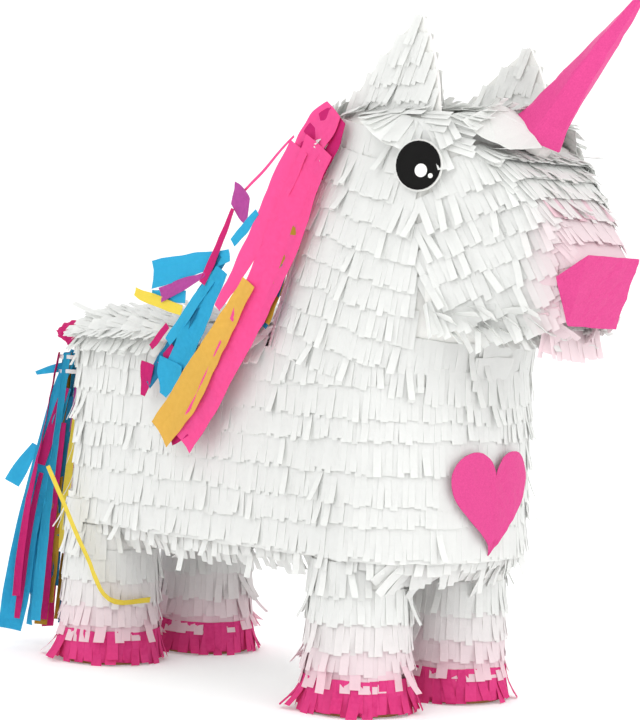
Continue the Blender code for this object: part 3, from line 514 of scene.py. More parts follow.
# %% The Geometry Nodes tree that hangs the fingers
def fringe_tree():
    """Puts a paper finger on each point that has a reach, and bends each one its own way."""
    tree = bpy.data.node_groups.new("fringe_fingers", "GeometryNodeTree")
    face = tree.interface
    face.new_socket("Rows", in_out="INPUT", socket_type="NodeSocketGeometry")
    for name, value in (("Thickness", 0.0003), ("Missing", 0.01), ("Sway", 0.04)):
        face.new_socket(name, in_out="INPUT", socket_type="NodeSocketFloat").default_value = value
    face.new_socket("Seed", in_out="INPUT", socket_type="NodeSocketInt").default_value = 1
    face.new_socket("Paper", in_out="INPUT", socket_type="NodeSocketMaterial")
    face.new_socket("Fringe", in_out="OUTPUT", socket_type="NodeSocketGeometry")
    given = add(tree, "NodeGroupInput").outputs

    def named(name, kind="FLOAT"):
        found = add(tree, "GeometryNodeInputNamedAttribute", {"Name": name}, data_type=kind)
        return found.outputs["Attribute"]

    def chance(low, high, salt):
        seed = add(tree, "FunctionNodeInputInt", integer=salt)
        mixed = add(tree, "ShaderNodeMath", {0: given["Seed"], 1: seed.outputs[0]}, operation="ADD")
        return add(tree, "FunctionNodeRandomValue", {2: low, 3: high, 8: mixed.outputs[0]}).outputs[1]

    def maths(operation, *values):
        return add(tree, "ShaderNodeMath", dict(enumerate(values)), operation=operation).outputs[0]

    def vectors(operation, inputs):
        return add(tree, "ShaderNodeVectorMath", inputs, operation=operation).outputs[0]

    reach = named("reach")
    is_finger = maths("GREATER_THAN", reach, 0.0005)
    present = maths("GREATER_THAN", chance(0.0, 1.0, 11), given["Missing"])
    chosen = maths("MULTIPLY", is_finger, present)

    size = add(tree, "ShaderNodeCombineXYZ", {0: 1.0, 1: given["Thickness"], 2: 1.0})
    strip = add(tree, "GeometryNodeMeshCube", {"Size": size.outputs[0], "Vertices X": 2, "Vertices Y": 2,
                                               "Vertices Z": 5})
    lowered = add(tree, "GeometryNodeSetPosition",
                  {"Geometry": strip.outputs["Mesh"], "Offset": (0, 0, -0.5)})
    height = add(tree, "ShaderNodeSeparateXYZ", {0: add(tree, "GeometryNodeInputPosition").outputs[0]})
    from_root = maths("MULTIPLY", height.outputs[2], -1.0)
    marked = add(tree, "GeometryNodeStoreNamedAttribute",
                 {"Geometry": lowered.outputs[0], "Name": "along", "Value": from_root},
                 data_type="FLOAT", domain="POINT")

    upward = vectors("SCALE", {0: named("down", "FLOAT_VECTOR"), 3: -1.0})
    turn = add(tree, "FunctionNodeAxesToRotation", {0: upward, 1: named("out", "FLOAT_VECTOR")},
               primary_axis="Z", secondary_axis="Y")
    scale = add(tree, "ShaderNodeCombineXYZ", {
        0: maths("MULTIPLY", named("wide"), chance(1.00, 1.24, 3)), 1: 1.0,
        2: maths("MULTIPLY", reach, chance(0.90, 1.06, 5))})
    placed = add(tree, "GeometryNodeInstanceOnPoints",
                 {"Points": given["Rows"], "Selection": chosen, "Instance": marked.outputs[0],
                  "Rotation": turn.outputs[0], "Scale": scale.outputs[0]})

    wild = maths("POWER", chance(0.0, 1.0, 23), 14.0)
    lift = maths("ADD", maths("MULTIPLY", named("lift"), chance(0.3, 1.5, 29)),
                 maths("MULTIPLY", maths("MULTIPLY", wild, 0.45), named("stray")))
    sway = maths("MULTIPLY", chance(-1.0, 1.0, 31), maths("ADD", given["Sway"], maths(
        "MULTIPLY", maths("MULTIPLY", wild, 0.4), named("stray"))))
    stored = placed
    for name, value in (("tint", chance(0.0, 1.0, 7)), ("bend", lift), ("lean", sway),
                        ("curl", chance(-1.0, 1.0, 37))):
        stored = add(tree, "GeometryNodeStoreNamedAttribute",
                     {"Geometry": stored.outputs[0], "Name": name, "Value": value},
                     data_type="FLOAT", domain="INSTANCE")
    real = add(tree, "GeometryNodeRealizeInstances", {"Geometry": stored.outputs[0]})

    along, out = named("along"), named("out", "FLOAT_VECTOR")
    side = vectors("CROSS_PRODUCT", {0: out, 1: named("down", "FLOAT_VECTOR")})
    bow = maths("MULTIPLY", maths("MULTIPLY", named("bend"), reach), maths("POWER", along, 1.7))
    ripple = maths("MULTIPLY", maths("MULTIPLY", named("curl"), maths("MULTIPLY", named("stray"), 0.0006)),
                   maths("SINE", maths("MULTIPLY", along, 4.4)))
    outward = maths("ADD", maths("ADD", bow, ripple), maths("MULTIPLY", along, 0.0013))
    sideways = maths("MULTIPLY", maths("MULTIPLY", named("lean"), reach), maths("POWER", along, 1.4))
    move = vectors("ADD", {0: vectors("SCALE", {0: out, 3: outward}),
                           1: vectors("SCALE", {0: side, 3: sideways})})
    bent = add(tree, "GeometryNodeSetPosition", {"Geometry": real.outputs[0], "Offset": move})
    bands = add(tree, "GeometryNodeDeleteGeometry", {"Geometry": given["Rows"], "Selection": is_finger},
                domain="POINT")
    both = add(tree, "GeometryNodeJoinGeometry")
    tree.links.new(bent.outputs[0], both.inputs[0])
    tree.links.new(bands.outputs[0], both.inputs[0])
    papered = add(tree, "GeometryNodeSetMaterial", {"Geometry": both.outputs[0], "Material": given["Paper"]})
    result = add(tree, "NodeGroupOutput")
    tree.links.new(papered.outputs[0], result.inputs[0])
    return tree


FRINGE_TREE = fringe_tree()


def baked(tree, rows, name, settings):
    """Runs a Geometry Nodes tree on a mesh and keeps the result as a plain mesh object."""
    holder = bpy.data.objects.new(name + "_rows", rows)
    bpy.context.scene.collection.objects.link(holder)
    modifier = holder.modifiers.new("fingers", "NODES")
    modifier.node_group = tree
    sockets = {item.name: item.identifier for item in tree.interface.items_tree if item.in_out == "INPUT"}
    for key, value in settings.items():
        modifier[sockets[key]] = value
    holder.update_tag()
    bpy.context.view_layer.update()
    evaluated = holder.evaluated_get(bpy.context.evaluated_depsgraph_get())
    mesh = bpy.data.meshes.new_from_object(evaluated)
    mesh.name = name
    holder.modifiers.clear()
    bpy.data.objects.remove(holder)
    made = bpy.data.objects.new(name, mesh)
    bpy.context.scene.collection.objects.link(made)
    return made


def hang_fringe(coat, paper, body, nodes, seed, missing=0.006, sway=0.028):
    """Bakes a coat into one piece that stands for its CAD nodes."""
    rows = bpy.data.meshes.new(coat.name + "_rows")
    rows.from_pydata(coat.points, [], coat.faces)
    for key in FLOAT_NAMES:
        rows.attributes.new(key, "FLOAT", "POINT").data.foreach_set("value", coat.values[key])
    for key in VECTOR_NAMES:
        flat = [x for v in coat.values[key] for x in v]
        rows.attributes.new(key, "FLOAT_VECTOR", "POINT").data.foreach_set("vector", flat)
    made = baked(FRINGE_TREE, rows, coat.name,
                 {"Seed": seed, "Missing": missing, "Sway": sway, "Paper": paper})
    for key in ("reach", "wide", "lift", "stray", "out", "down", "bend", "lean", "curl"):
        made.data.attributes.remove(made.data.attributes[key])
    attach(made, body)
    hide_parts(*nodes)
    print(coat.name, len(made.data.polygons), "faces")
    return made


# %% [markdown]
# ## The trunk
# Strips run right round the trunk, one above the other, 23 mm apart, and the fingers hang
# straight down. The same rings wrap round the chest and the rump.

# %% Trunk rows
ROW_PITCH = 0.0225
FINGER_LENGTH = 0.0285
DOWN = (0, 0, -1)

trunk = Coat("trunk_fringe")
SIDE_SKINS = {"trunk_tissue", "back_tissue", "belly_tissue"}
for k in range(7):
    z = 0.2895 - k * ROW_PITCH
    allowed = SIDE_SKINS | ({"neck_tissue"} if k == 0 else set())
    for run in ring_hits((-0.02, MIDDLE_Y, z), (0.02 * math.sin(k * 2.1), 0, 1), allowed):
        trunk.row(run, DOWN, FINGER_LENGTH)
hang_fringe(trunk, WHITE_TISSUE, "root", ["trunk_tissue"], seed=101)

# %% [markdown]
# ## The neck and head
# On the neck the strips slope down towards the chest, and their fingers lean backwards.
# Rays that would land on the snout leave a gap, because the snout has its own strips. Over
# the top of the head short strips point forwards and stand up a little.

# %% Neck rows
NECK_CENTRE_X = 0.115
NECK_SLOPE = 0.26
neck = Coat("neck_fringe")


def neck_blush(place):
    """Pink shows through along the back edge of the neck, under the streamers."""
    behind = max(0.0, 1 - (place.x - 0.02) / 0.06)
    halfway_up = max(0.0, 1 - abs(place.z - 0.36) / 0.1)
    return behind * 0.55 * halfway_up


for k in range(10):
    z = 0.492 - k * 0.0215
    for run in ring_hits((NECK_CENTRE_X, MIDDLE_Y, z), (NECK_SLOPE, 0, 1),
                         {"neck_tissue", "trunk_tissue"}):
        neck.row(run, (-0.16, 0, -1), 0.0295, blush=neck_blush)
for k in range(8):
    x = 0.072 + k * 0.022
    for run in line_hits((x, -0.077, 0.7), (x, 0.088, 0.7), DOWN, {"neck_tissue", "snout_tissue"}):
        neck.row(run, (1, 0, -0.1), 0.028, lift=0.09, stray=0.9, header=0.024)
hang_fringe(neck, WHITE_TISSUE, "root", ["neck_tissue"], seed=211)

# %% Snout rows
SNOUT_SLOPE = 0.38            # these strips rise towards the muzzle
SNOUT_MIDDLE_X = 0.235
snout = Coat("snout_fringe")


def snout_blush(place):
    """The white paper thins out towards the muzzle, where pink shows through it."""
    ahead = min(1.0, max(0.0, (place.x - 0.258) / 0.030))
    below_brow = min(1.0, max(0.25, (0.44 - place.z) / 0.05))
    return 0.75 * ahead * below_brow


MUZZLE_REAR_X = 0.2905
CHEEK_REAR_X = 0.184          # the cheek strips begin here, over the ends of the neck's strips


def short_of_muzzle(place, down, length):
    """How far a finger may reach before it would lie over the muzzle's pink paper."""
    room = MUZZLE_REAR_X - place.x
    return min(length, room / down.x) if down.x > 0.05 else length


for k in range(-2, 8):
    z = 0.4500 - k * 0.0210
    for run in ring_hits((SNOUT_MIDDLE_X, MIDDLE_Y, z), (-SNOUT_SLOPE, 0, 1),
                         {"snout_tissue", "neck_tissue"}, start_distance=0.2):
        cheeks = [hit for hit in run if hit[0].x > CHEEK_REAR_X and hit[1].z < 0.6]
        for half in runs_of(cheeks, closed=False) if len(cheeks) > 3 else ():
            snout.row(half, (0.60, 0, -1), 0.031, width=0.0052, blush=snout_blush, stray=0.7,
                      header=0.027, keep=short_of_muzzle)
for k in range(7):
    x = 0.196 + k * 0.0150
    for run in line_hits((x, -0.060, 0.7), (x, 0.071, 0.7), DOWN, {"snout_tissue"}):
        snout.row(run, (1, 0, -0.6), 0.028, lift=0.05, stray=0.8, header=0.024, blush=snout_blush)
for x, blush in ((0.2625, 0.8), (0.2745, 1.0)):
    for y, way in ((-0.2, 1), (0.2, -1)):
        for run in line_hits((x, y, 0.3135), (x + 0.012, y, 0.365), (0, way, 0), {"snout_tissue"}, rays=40):
            snout.row(run, (1, 0, -0.05), 0.021, width=0.0085, blush=blush, header=0.010, lift=0.02,
                      stray=0.2, keep=short_of_muzzle)
for run in line_hits((0.2715, -0.030, 0.7), (0.2715, 0.041, 0.7), DOWN, {"snout_tissue"}):
    snout.row(run, (1, 0, -0.6), 0.026, width=0.0085, blush=1.0, header=0.016, lift=0.02, stray=0.3)
for x in (0.180, 0.196, 0.212, 0.228, 0.244, 0.258):
    for run in line_hits((x, -0.09, 0.1), (x, 0.1, 0.1), (0, 0, 1), {"snout_tissue"}, rays=60):
        snout.row(run, (1, 0, 0), 0.026, width=0.0060, lift=0.55, stray=1.2, blush=snout_blush, header=0.022,
                  keep=short_of_muzzle)
hang_fringe(snout, WHITE_TISSUE, "root", ["snout_tissue"], seed=307)

# %% [markdown]
# ## Back, flap and belly
# Along the back the strips run from side to side and their fingers lie towards the tail.
# The filling flap has strips of its own, which move with it when it opens, and the strips
# around it stop at its edge. Under the belly the strips are long and untidy.

# %% Back and flap
FLAP_LOW, FLAP_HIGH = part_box("flap_tissue")
FLAP_ROOM = 0.0025
HINGE_ROOM = 0.010            # the open flap leans over the back here


def clear_of_flap(place, down, length):
    """How far a finger on the back may reach before it would lie on the flap."""
    if not FLAP_LOW.y - 0.004 < place.y < FLAP_HIGH.y + HINGE_ROOM:
        return length
    gap = place.x - (FLAP_HIGH.x + FLAP_ROOM)
    return min(length, gap) if gap > 0 else length


back_coat, flap_coat = Coat("back_fringe"), Coat("flap_fringe")
for k in range(13):
    x = 0.038 - k * 0.0215
    for run in line_hits((x, -0.12, 0.6), (x + 0.004, 0.13, 0.6), DOWN, {"back_tissue"}):
        back_coat.row(run, (-1, 0, -0.05), 0.026, lift=0.16, stray=1.2, header=0.010, keep=clear_of_flap)
for k in range(4):
    x = FLAP_HIGH.x - 0.002 - k * 0.0215
    for run in line_hits((x, FLAP_LOW.y, 0.6), (x, FLAP_HIGH.y - 0.004, 0.6), DOWN, {"flap_tissue"}):
        length = min(0.026, x - FLAP_LOW.x + 0.004)
        flap_coat.row(run, (-1, 0, -0.05), length, lift=0.12, header=min(0.024, length))
for z in (0.3015, 0.295):
    for run in ring_hits((-0.1, MIDDLE_Y, z), (0, 0, 1), {"back_tissue"}):
        back_coat.row(run, DOWN, 0.022, lift=0.14, stray=1.2, header=0.016)
hang_fringe(back_coat, WHITE_TISSUE, "root", ["back_tissue"], seed=401, sway=0.12)
hang_fringe(flap_coat, WHITE_TISSUE, "flap", ["flap_tissue"], seed=409, sway=0.1)

# %% Belly
belly = Coat("belly_fringe")
for k in range(10):
    x = 0.185 - k * 0.045
    for run in line_hits((x, -0.070, -0.2), (x, 0.081, -0.2), (0, 0, 1), {"belly_tissue"}):
        belly.row(run, (-1, 0, 0), 0.046, width=0.007, lift=0.14, stray=0.8, header=0.046)
for z, length in ((0.139, 0.026), (0.128, 0.030)):
    for run in ring_hits((-0.02, MIDDLE_Y, z), (0, 0, 1), {"belly_tissue"}):
        belly.row(run, DOWN, length, width=0.006, lift=0.22, stray=1.3, header=0.012)
hang_fringe(belly, WHITE_TISSUE, "root", ["belly_tissue"], seed=503, sway=0.14,
            missing=0.03)

# %% [markdown]
# ## Legs and hooves
# Each leg is a card tube with the same strips round it. The last two strips are cut into
# wider fingers and are pale pink, and below them a band of hot pink fringe makes the hoof,
# with its ends curling outwards where they meet the ground.

# %% Leg and hoof rows
# height, finger width, finger length, blush
LEG_ROWS = ((0.1440, 0.005, 0.0285, 0.0), (0.1225, 0.005, 0.0285, 0.0), (0.1010, 0.0052, 0.0285, 0.0),
            (0.0800, 0.0055, 0.0290, 0.15), (0.0620, 0.0062, 0.0280, 0.5), (0.0475, 0.0078, 0.0270, 0.95))
for number, place in enumerate(("front_left", "front_right", "rear_left", "rear_right")):
    low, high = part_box("leg_tissue_" + place)
    middle = (low + high) / 2
    leg = Coat("leg_fringe_" + place)
    for z, width, length, blush in LEG_ROWS:
        for run in ring_hits((middle.x, middle.y, z), (0, 0, 1), {"leg_tissue_" + place},
                             start_distance=0.062, rays=120):
            leg.row(run, DOWN, length, width=width, blush=blush, lift=0.05 + 0.08 * blush,
                    stray=0.8 + blush, header=0.026 if blush < 0.9 else 0.012)
    hang_fringe(leg, WHITE_TISSUE, "root", ["leg_tissue_" + place], seed=601 + number)
    hoof = Coat("hoof_fringe_" + place)
    for z, lift, header in ((0.0295, 0.06, 0.027), (0.0270, 0.16, 0)):
        for run in ring_hits((middle.x, middle.y, z), (0, 0, 1), {"hoof_band_" + place},
                             start_distance=0.062, rays=120):
            hoof.row(run, DOWN, 0.0255, width=0.0078, lift=lift, stray=1.0, header=header)
    hang_fringe(hoof, PINK_TISSUE, "root", ["hoof_band_" + place], seed=701 + number,
                sway=0.12)

# %% [markdown]
# ## Ears
# An ear is a flat card triangle with narrow strips on both faces, their fingers hanging
# along it and a few standing out from its edges.

# %% Ear rows
for number, side in enumerate(("left", "right")):
    low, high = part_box("ear_tissue_" + side)
    ear = Coat("ear_fringe_" + side)
    middle_y = (low.y + high.y) / 2
    z = high.z - 0.0045
    while z > low.z + 0.004:
        for way in (1, -1):
            beside = middle_y - way * 0.05
            for run in line_hits((low.x - 0.01, beside, z), (high.x + 0.01, beside, z), (0, way, 0),
                                 {"ear_tissue_" + side}, rays=60, reach=0.1):
                ear.row(run, (-0.3, 0, -1), 0.026, width=0.0045, lift=0.07, header=0.018, sink=0.0022)
        z -= 0.0145
    hang_fringe(ear, WHITE_TISSUE, "root", ["ear_tissue_" + side], seed=801 + number)

# %% [markdown]
# ## Streamers for the mane and tail
# The mane and the tail are long ribbons of coloured tissue, tied in a bunch at one end. All
# the ribbons of a bunch follow one line, which falls as the bunch falls, so each needs only
# a few sizes: the shares of the line where it starts and ends, how far it has strayed to the
# side there, its widths, and how many layers it lies above the first. A positive stray is
# towards the head in the mane, and towards the body in the tail.

# %% The line of the mane: from the crown down the near side of the neck
MANE_LINE = ((105, -84, 478), (82, -88, 446), (64, -95, 396), (40, -103, 338), (8, -107, 284),
             (-24, -107, 236), (-54, -107, 200))
# Rows in the darker turquoise and darker amber papers are painted shade: ribbons that lie in shadow.
MANE = (
    # colour, start, end, stray at start and end, width at start and end, layer
    ("pink", 0.00, 0.20, -4, -6, 20, 28, 1),
    ("magenta", 0.01, 0.22, 2, 2, 22, 40, 0),
    ("pink", 0.13, 0.93, 6, 11, 34, 24, 3),
    ("pink", 0.17, 0.60, -13, -26, 26, 8, 2),
    ("amber", 0.50, 0.99, -6, -14, 14, 30, 4),
    ("magenta", 0.76, 0.97, 8, -4, 26, 12, 1),
    ("turquoise", 0.52, 0.82, -40, -38, 16, 22, 2),
    ("turquoise", 0.79, 0.89, -44, -34, 30, 10, 3),
    ("turquoise_painted_shade", 0.50, 0.92, -46, -58, 10, 12, 1),
    ("turquoise", 0.48, 0.66, -40, -108, 10, 22, 2),
    ("violet", 0.56, 0.68, -54, -88, 4, 12, 3),
    ("turquoise", 0.64, 0.70, -64, -100, 10, 6, 1),
    ("yellow", 0.67, 0.73, -60, -118, 8, 7, 2),
    ("magenta", 0.73, 0.82, -68, -74, 6, 6, 1),
    ("magenta", 0.87, 0.96, -68, -54, 16, 5, 1),
    ("magenta", 0.76, 0.84, -52, -58, 6, 5, 1),
    ("violet", 0.37, 0.35, -40, -64, 20, 20, 2),
    ("magenta", 0.38, 0.58, -56, -52, 4, 8, 3),
    ("turquoise", 0.36, 0.45, -30, -42, 6, 8, 2),
    ("amber_painted_shade", 0.34, 0.55, 14, 26, 6, 10, 1),
    ("turquoise_painted_shade", 0.43, 0.56, 20, 24, 8, 10, 1),
    ("turquoise", 0.52, 0.76, -44, -58, 8, 9, 2),
    ("pink", 0.16, 0.37, -24, -60, 2, 2, 1),
)

# %% The line of the tail: from the tie straight down, with ribbons in front of it
tie_low, tie_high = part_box("tail_tie_upper")
TIE_X = round((tie_low.x + tie_high.x) / 2 / MM)
TIE_Y = round((tie_low.y + tie_high.y) / 2 / MM)
TAIL_LINE = ((TIE_X + 2, TIE_Y + 2, 272), (TIE_X + 3, TIE_Y - 6, 240), (TIE_X - 4, TIE_Y - 10, 180),
             (TIE_X - 13, TIE_Y - 13, 110), (TIE_X - 19, TIE_Y - 15, 14))
# Rows in the darker turquoise and darker amber papers are painted shade: ribbons that lie in shadow.
TAIL = (
    ("magenta", 0.05, 0.90, 12, 26, 9, 9, 2),
    ("turquoise", 0.00, 0.66, 2, -20, 9, 6, 3),
    ("turquoise", 0.26, 1.00, 0, -24, 9, 22, 2),
    ("turquoise", 0.48, 0.62, -20, -36, 6, 14, 1),
    ("turquoise", 0.14, 0.19, -4, -30, 8, 4, 2),
    ("turquoise_painted_shade", 0.30, 0.88, 8, 10, 8, 14, 1),
    ("magenta", 0.26, 0.55, 0, -12, 6, 8, 4),
    ("magenta", 0.40, 0.96, 2, 4, 7, 12, 3),
    ("magenta", 0.58, 0.96, -10, -18, 4, 5, 3),
    ("yellow", 0.34, 0.80, 12, 18, 4, 7, 4),
    ("amber_painted_shade", 0.30, 0.98, 6, 4, 6, 12, 0),
    ("violet", 0.20, 0.55, 10, 14, 5, 6, 1),
    ("turquoise", 0.30, 0.90, 4, -2, 8, 12, 0),
)
LAYER = 1.2                   # how far one layer of ribbons lies above the next
STREAMER_STATIONS = 8
STEPS_BETWEEN = 6             # points between two stations on a smooth line
SWELL = 0.25                  # a ribbon is this much wider halfway along
DRIFT = 0.18                  # and its edges wander by this share of its width


def laid_along(line, sizes, sideways, outward):
    """Stations of one streamer: its left and right edge, from its start to its end on the line."""
    colour, start, end, stray_start, stray_end, width_start, width_end, layer = sizes
    course = curve_through([Vector(point) for point in line], STEPS_BETWEEN)
    stations = []
    for k in range(STREAMER_STATIONS):
        share = k / (STREAMER_STATIONS - 1)
        at = (start + (end - start) * share) * (len(course) - 1)
        low = min(int(at), len(course) - 2)
        ahead = (course[low + 1] - course[low]).normalized()
        stray = stray_start + (stray_end - stray_start) * share
        middle = course[low].lerp(course[low + 1], at - low)
        middle += sideways(ahead) * stray + outward * LAYER * layer
        drift = DRIFT * noise.noise(middle * 0.03)
        half = (width_start + (width_end - width_start) * share) / 2
        half *= 1 + SWELL * math.sin(math.pi * share) + drift
        run = (sideways(ahead) * (stray_end - stray_start) + ahead * 100 * abs(end - start) * 3).normalized()
        across = outward.cross(run).normalized() * half
        stations.append((*(middle - across), *(middle + across)))
    return colour, tuple(stations)


# %% From edges to ribbons
STREAMER_THICKNESS = 0.0003
ACROSS = (0.0, 0.33, 0.67, 1.0)


def curve_through(points, steps):
    """A smooth line through the points."""
    line = []
    for k in range(len(points) - 1):
        a, b, c, d = (points[min(max(k + i, 0), len(points) - 1)] for i in (-1, 0, 1, 2))
        for i in range(steps):
            t = i / steps
            line.append(0.5 * (2 * b + (c - a) * t + (2 * a - 5 * b + 4 * c - d) * t * t
                               + (3 * b - a - 3 * c + d) * t ** 3))
    return line + [points[-1]]


def add_ribbon(mesh, stations, bow, tint, crinkle=0.0018):
    """One ribbon as a closed thin strip, added to a mesh of its colour."""
    lefts = curve_through([Vector(s[:3]) * MM for s in stations], STEPS_BETWEEN)
    rights = curve_through([Vector(s[3:]) * MM for s in stations], STEPS_BETWEEN)
    layer = mesh.verts.layers.float["tint"]
    rings = []
    for k, (left, right) in enumerate(zip(lefts, rights)):
        ahead = lefts[min(k + 1, len(lefts) - 1)] - lefts[max(k - 1, 0)]
        facing = (right - left).cross(ahead)
        facing = facing.normalized() if facing.length > 1e-12 else Vector((0, -1, 0))
        width = (right - left).length
        ring = []
        for side in (0, 1):
            for share in ACROSS if side == 0 else reversed(ACROSS):
                place = left.lerp(right, share)
                fold = noise.noise(place * 70 + Vector((tint * 31, 0, 0))) * crinkle
                fold *= min(1.0, width / 0.012)
                lift = bow * width * 4 * share * (1 - share) + fold
                vertex = mesh.verts.new(place + facing * (lift + side * STREAMER_THICKNESS))
                vertex[layer] = tint
                ring.append(vertex)
        rings.append(ring)
    count = 2 * len(ACROSS)
    for a, b in zip(rings, rings[1:]):
        for i in range(count):
            mesh.faces.new((a[i], a[(i + 1) % count], b[(i + 1) % count], b[i]))
    half = len(ACROSS)
    for ring, turned in ((rings[0], True), (rings[-1], False)):
        for i in range(half - 1):
            face = (ring[i], ring[i + 1], ring[count - 2 - i], ring[count - 1 - i])
            mesh.faces.new(face if not turned else tuple(reversed(face)))


def streamers(name, ribbons, body, replaced=(), clear=0.0):
    """All ribbons of a bunch, one piece for each colour. The first piece stands for the CAD nodes."""
    rolls = random.Random(name)
    made = {}
    for colour, stations in ribbons:
        if colour not in made:
            made[colour] = bmesh.new()
            made[colour].verts.layers.float.new("tint")
        stations = [(a, b - clear, c, d, e - clear, f) for a, b, c, d, e, f in stations]
        add_ribbon(made[colour], stations, bow=rolls.uniform(0.03, 0.09), tint=rolls.random())
    for number, (colour, mesh) in enumerate(made.items()):
        bmesh.ops.recalc_face_normals(mesh, faces=mesh.faces)
        piece = finished_piece(f"{name}_{colour}", mesh, STREAMER_PAPERS[colour], body)
        if number == 0 and replaced:
            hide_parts(*replaced)


def finished_piece(name, mesh, material, body, replaced=()):
    """A bmesh as a named piece that rides on a body."""
    data = bpy.data.meshes.new(name)
    mesh.to_mesh(data)
    mesh.free()
    data.materials.append(material)
    piece = bpy.data.objects.new(name, data)
    bpy.context.scene.collection.objects.link(piece)
    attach(piece, body)
    if replaced:
        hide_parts(*replaced)
    print(name, len(data.polygons), "faces")
    return piece


TOWARDS_SIDE = Vector((0, -1, 0))
TOWARDS_VIEW = Vector((0.70, -0.71, 0))


def towards_head(ahead):
    """Square to the mane's line, on the neck's side."""
    return ahead.cross(TOWARDS_SIDE).normalized() * -1


mane = [laid_along(MANE_LINE, sizes, towards_head, TOWARDS_SIDE) for sizes in MANE]
streamers("mane", mane, "root", ("mane_pink", "mane_amber", "mane_turquoise"), clear=3.0)

# %% [markdown]
# The tail also has ribbons inside and behind the ones above. They fill the bunch, so they
# follow its own shape: from the tie they spread and fall to the ground, each a little apart
# from the next, with seeded random widths and ends.

# %% Ribbons that fill the tail
TAIL_TOP = Vector((-0.2667, -0.0446, 0.270))
TAIL_SPREAD_LOW = Vector((-0.289, -0.046, 0.03))
FILLERS = 15
FILLER_REACH_X, FILLER_REACH_Y = 0.024, 0.034
# The darker turquoise and amber papers among these are painted shade, for ribbons deep in the bunch.
FILLER_COLOURS = ("turquoise", "magenta", "turquoise_painted_shade", "turquoise", "amber_painted_shade")
filler_rolls = random.Random(77)
filler = []
for k in range(FILLERS):
    angle = 2 * math.pi * k / FILLERS
    reach = Vector((FILLER_REACH_X * math.cos(angle), FILLER_REACH_Y * math.sin(angle), 0))
    reach *= 0.5 + 0.5 * (k % 2)
    end_height = filler_rolls.uniform(0.012, 0.075)
    half = filler_rolls.uniform(3.0, 6.0)
    colour = FILLER_COLOURS[k % len(FILLER_COLOURS)]
    stations = []
    for share in (0.0, 0.12, 0.35, 0.6, 0.82, 1.0):
        spread = 0.4 + 0.6 * min(1.0, share * 1.4)
        place = TAIL_TOP.lerp(Vector((TAIL_SPREAD_LOW.x, TAIL_SPREAD_LOW.y, end_height)), share)
        place = (place + reach * spread) / MM
        turn = angle + 0.9 * math.sin(3 * share + k)
        across = Vector((-math.sin(turn), math.cos(turn), 0)) * half * (0.45 + 0.55 * spread)
        stations.append((*(place - across), *(place + across)))
    filler.append((colour, stations))
TOWARDS_BODY = Vector((0.71, 0.70, 0))
tail = [laid_along(TAIL_LINE, sizes, lambda ahead: TOWARDS_BODY, TOWARDS_VIEW) for sizes in TAIL]
tail.append(("yellow", ((-207, -118, 172, -202, -118, 174), (-170, -103, 98, -165, -104, 101),
                        (-153, -88, 58, -148, -90, 62), (-143, -48, 55, -142, -48, 60))))
streamers("tail", tail + filler, "tail", ("tail_bundle",))

# %% [markdown]
# The bunch is knotted where it leaves the rump, and two ties of white twine hold it just
# below. The knot is paper pulled tight: here it is a crumpled lump.

# %% Knot and ties
TWINE_THICKNESS, TWINE_WIDTH, TWINE_TURNS, TWINE_WOBBLE = 0.0012, 0.0020, 2, 0.0006


def wound_twine(name, centre, radius, replaced, around=40):
    """Twine wound round a bunch: one closed band for each turn."""
    mesh = bmesh.new()
    mesh.verts.layers.float.new("tint")
    for turn in range(TWINE_TURNS):
        off_middle = turn - (TWINE_TURNS - 1) / 2
        rings = []
        for i in range(around):
            angle = 2 * math.pi * i / around
            slip = TWINE_WOBBLE * noise.noise(Vector((math.cos(angle) * 2, math.sin(angle) * 2, turn * 3.7)))
            level = off_middle * TWINE_WIDTH * 0.85 + slip
            out = Vector((math.cos(angle), math.sin(angle), 0))
            bulge = radius * (1 - 0.25 * abs(off_middle)) + slip * 0.5
            ring = []
            for above, along in ((0, -0.5), (TWINE_THICKNESS, -0.42), (TWINE_THICKNESS, 0.42), (0, 0.5)):
                ring.append(mesh.verts.new(Vector(centre) + out * (bulge + above)
                                           + Vector((0, 0, level + along * TWINE_WIDTH))))
            rings.append(ring)
        for i in range(around):
            a, b = rings[i], rings[(i + 1) % around]
            for j in range(4):
                mesh.faces.new((a[j], b[j], b[(j + 1) % 4], a[(j + 1) % 4]))
    bmesh.ops.recalc_face_normals(mesh, faces=mesh.faces)
    return finished_piece(name, mesh, TWINE, "tail", replaced)


for name in ("tail_tie_upper", "tail_tie_lower"):
    low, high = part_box(name)
    wound_twine(name + "_twine", (low + high) / 2, (high.x - low.x) / 2 - TWINE_THICKNESS, (name,))

def paper_lump(name, middle, half_size, material, body, replaced, crumple):
    """A crumpled ball of paper, such as a knot pulled tight."""
    mesh = bmesh.new()
    bmesh.ops.create_icosphere(mesh, subdivisions=4, radius=1.0)
    layer = mesh.verts.layers.float.new("tint")
    for vertex in mesh.verts:
        unit = vertex.co.copy()
        folds = abs(noise.noise(unit * 2.3)) + 0.5 * abs(noise.noise(unit * 5.1))
        shaped = unit * (1.0 - crumple + 1.6 * crumple * folds)
        vertex[layer] = folds
        vertex.co = middle + Vector((shaped.x * half_size.x, shaped.y * half_size.y,
                                     shaped.z * half_size.z))
    return finished_piece(name, mesh, material, body, replaced)


knot_low, knot_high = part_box("tail_knot")
paper_lump("tail_knot_lump", (knot_low + knot_high) / 2, (knot_high - knot_low) / 2 * 1.02,
           STREAMER_PAPERS["magenta"], "root", ("tail_knot",), crumple=0.2)

# %% [markdown]
# ## Horn
# The horn is a sheet of pink paper rolled round a card cone. It creases into flat facets
# that wind up the cone, its tip is twisted tight, and its lower edge is torn and flares out.

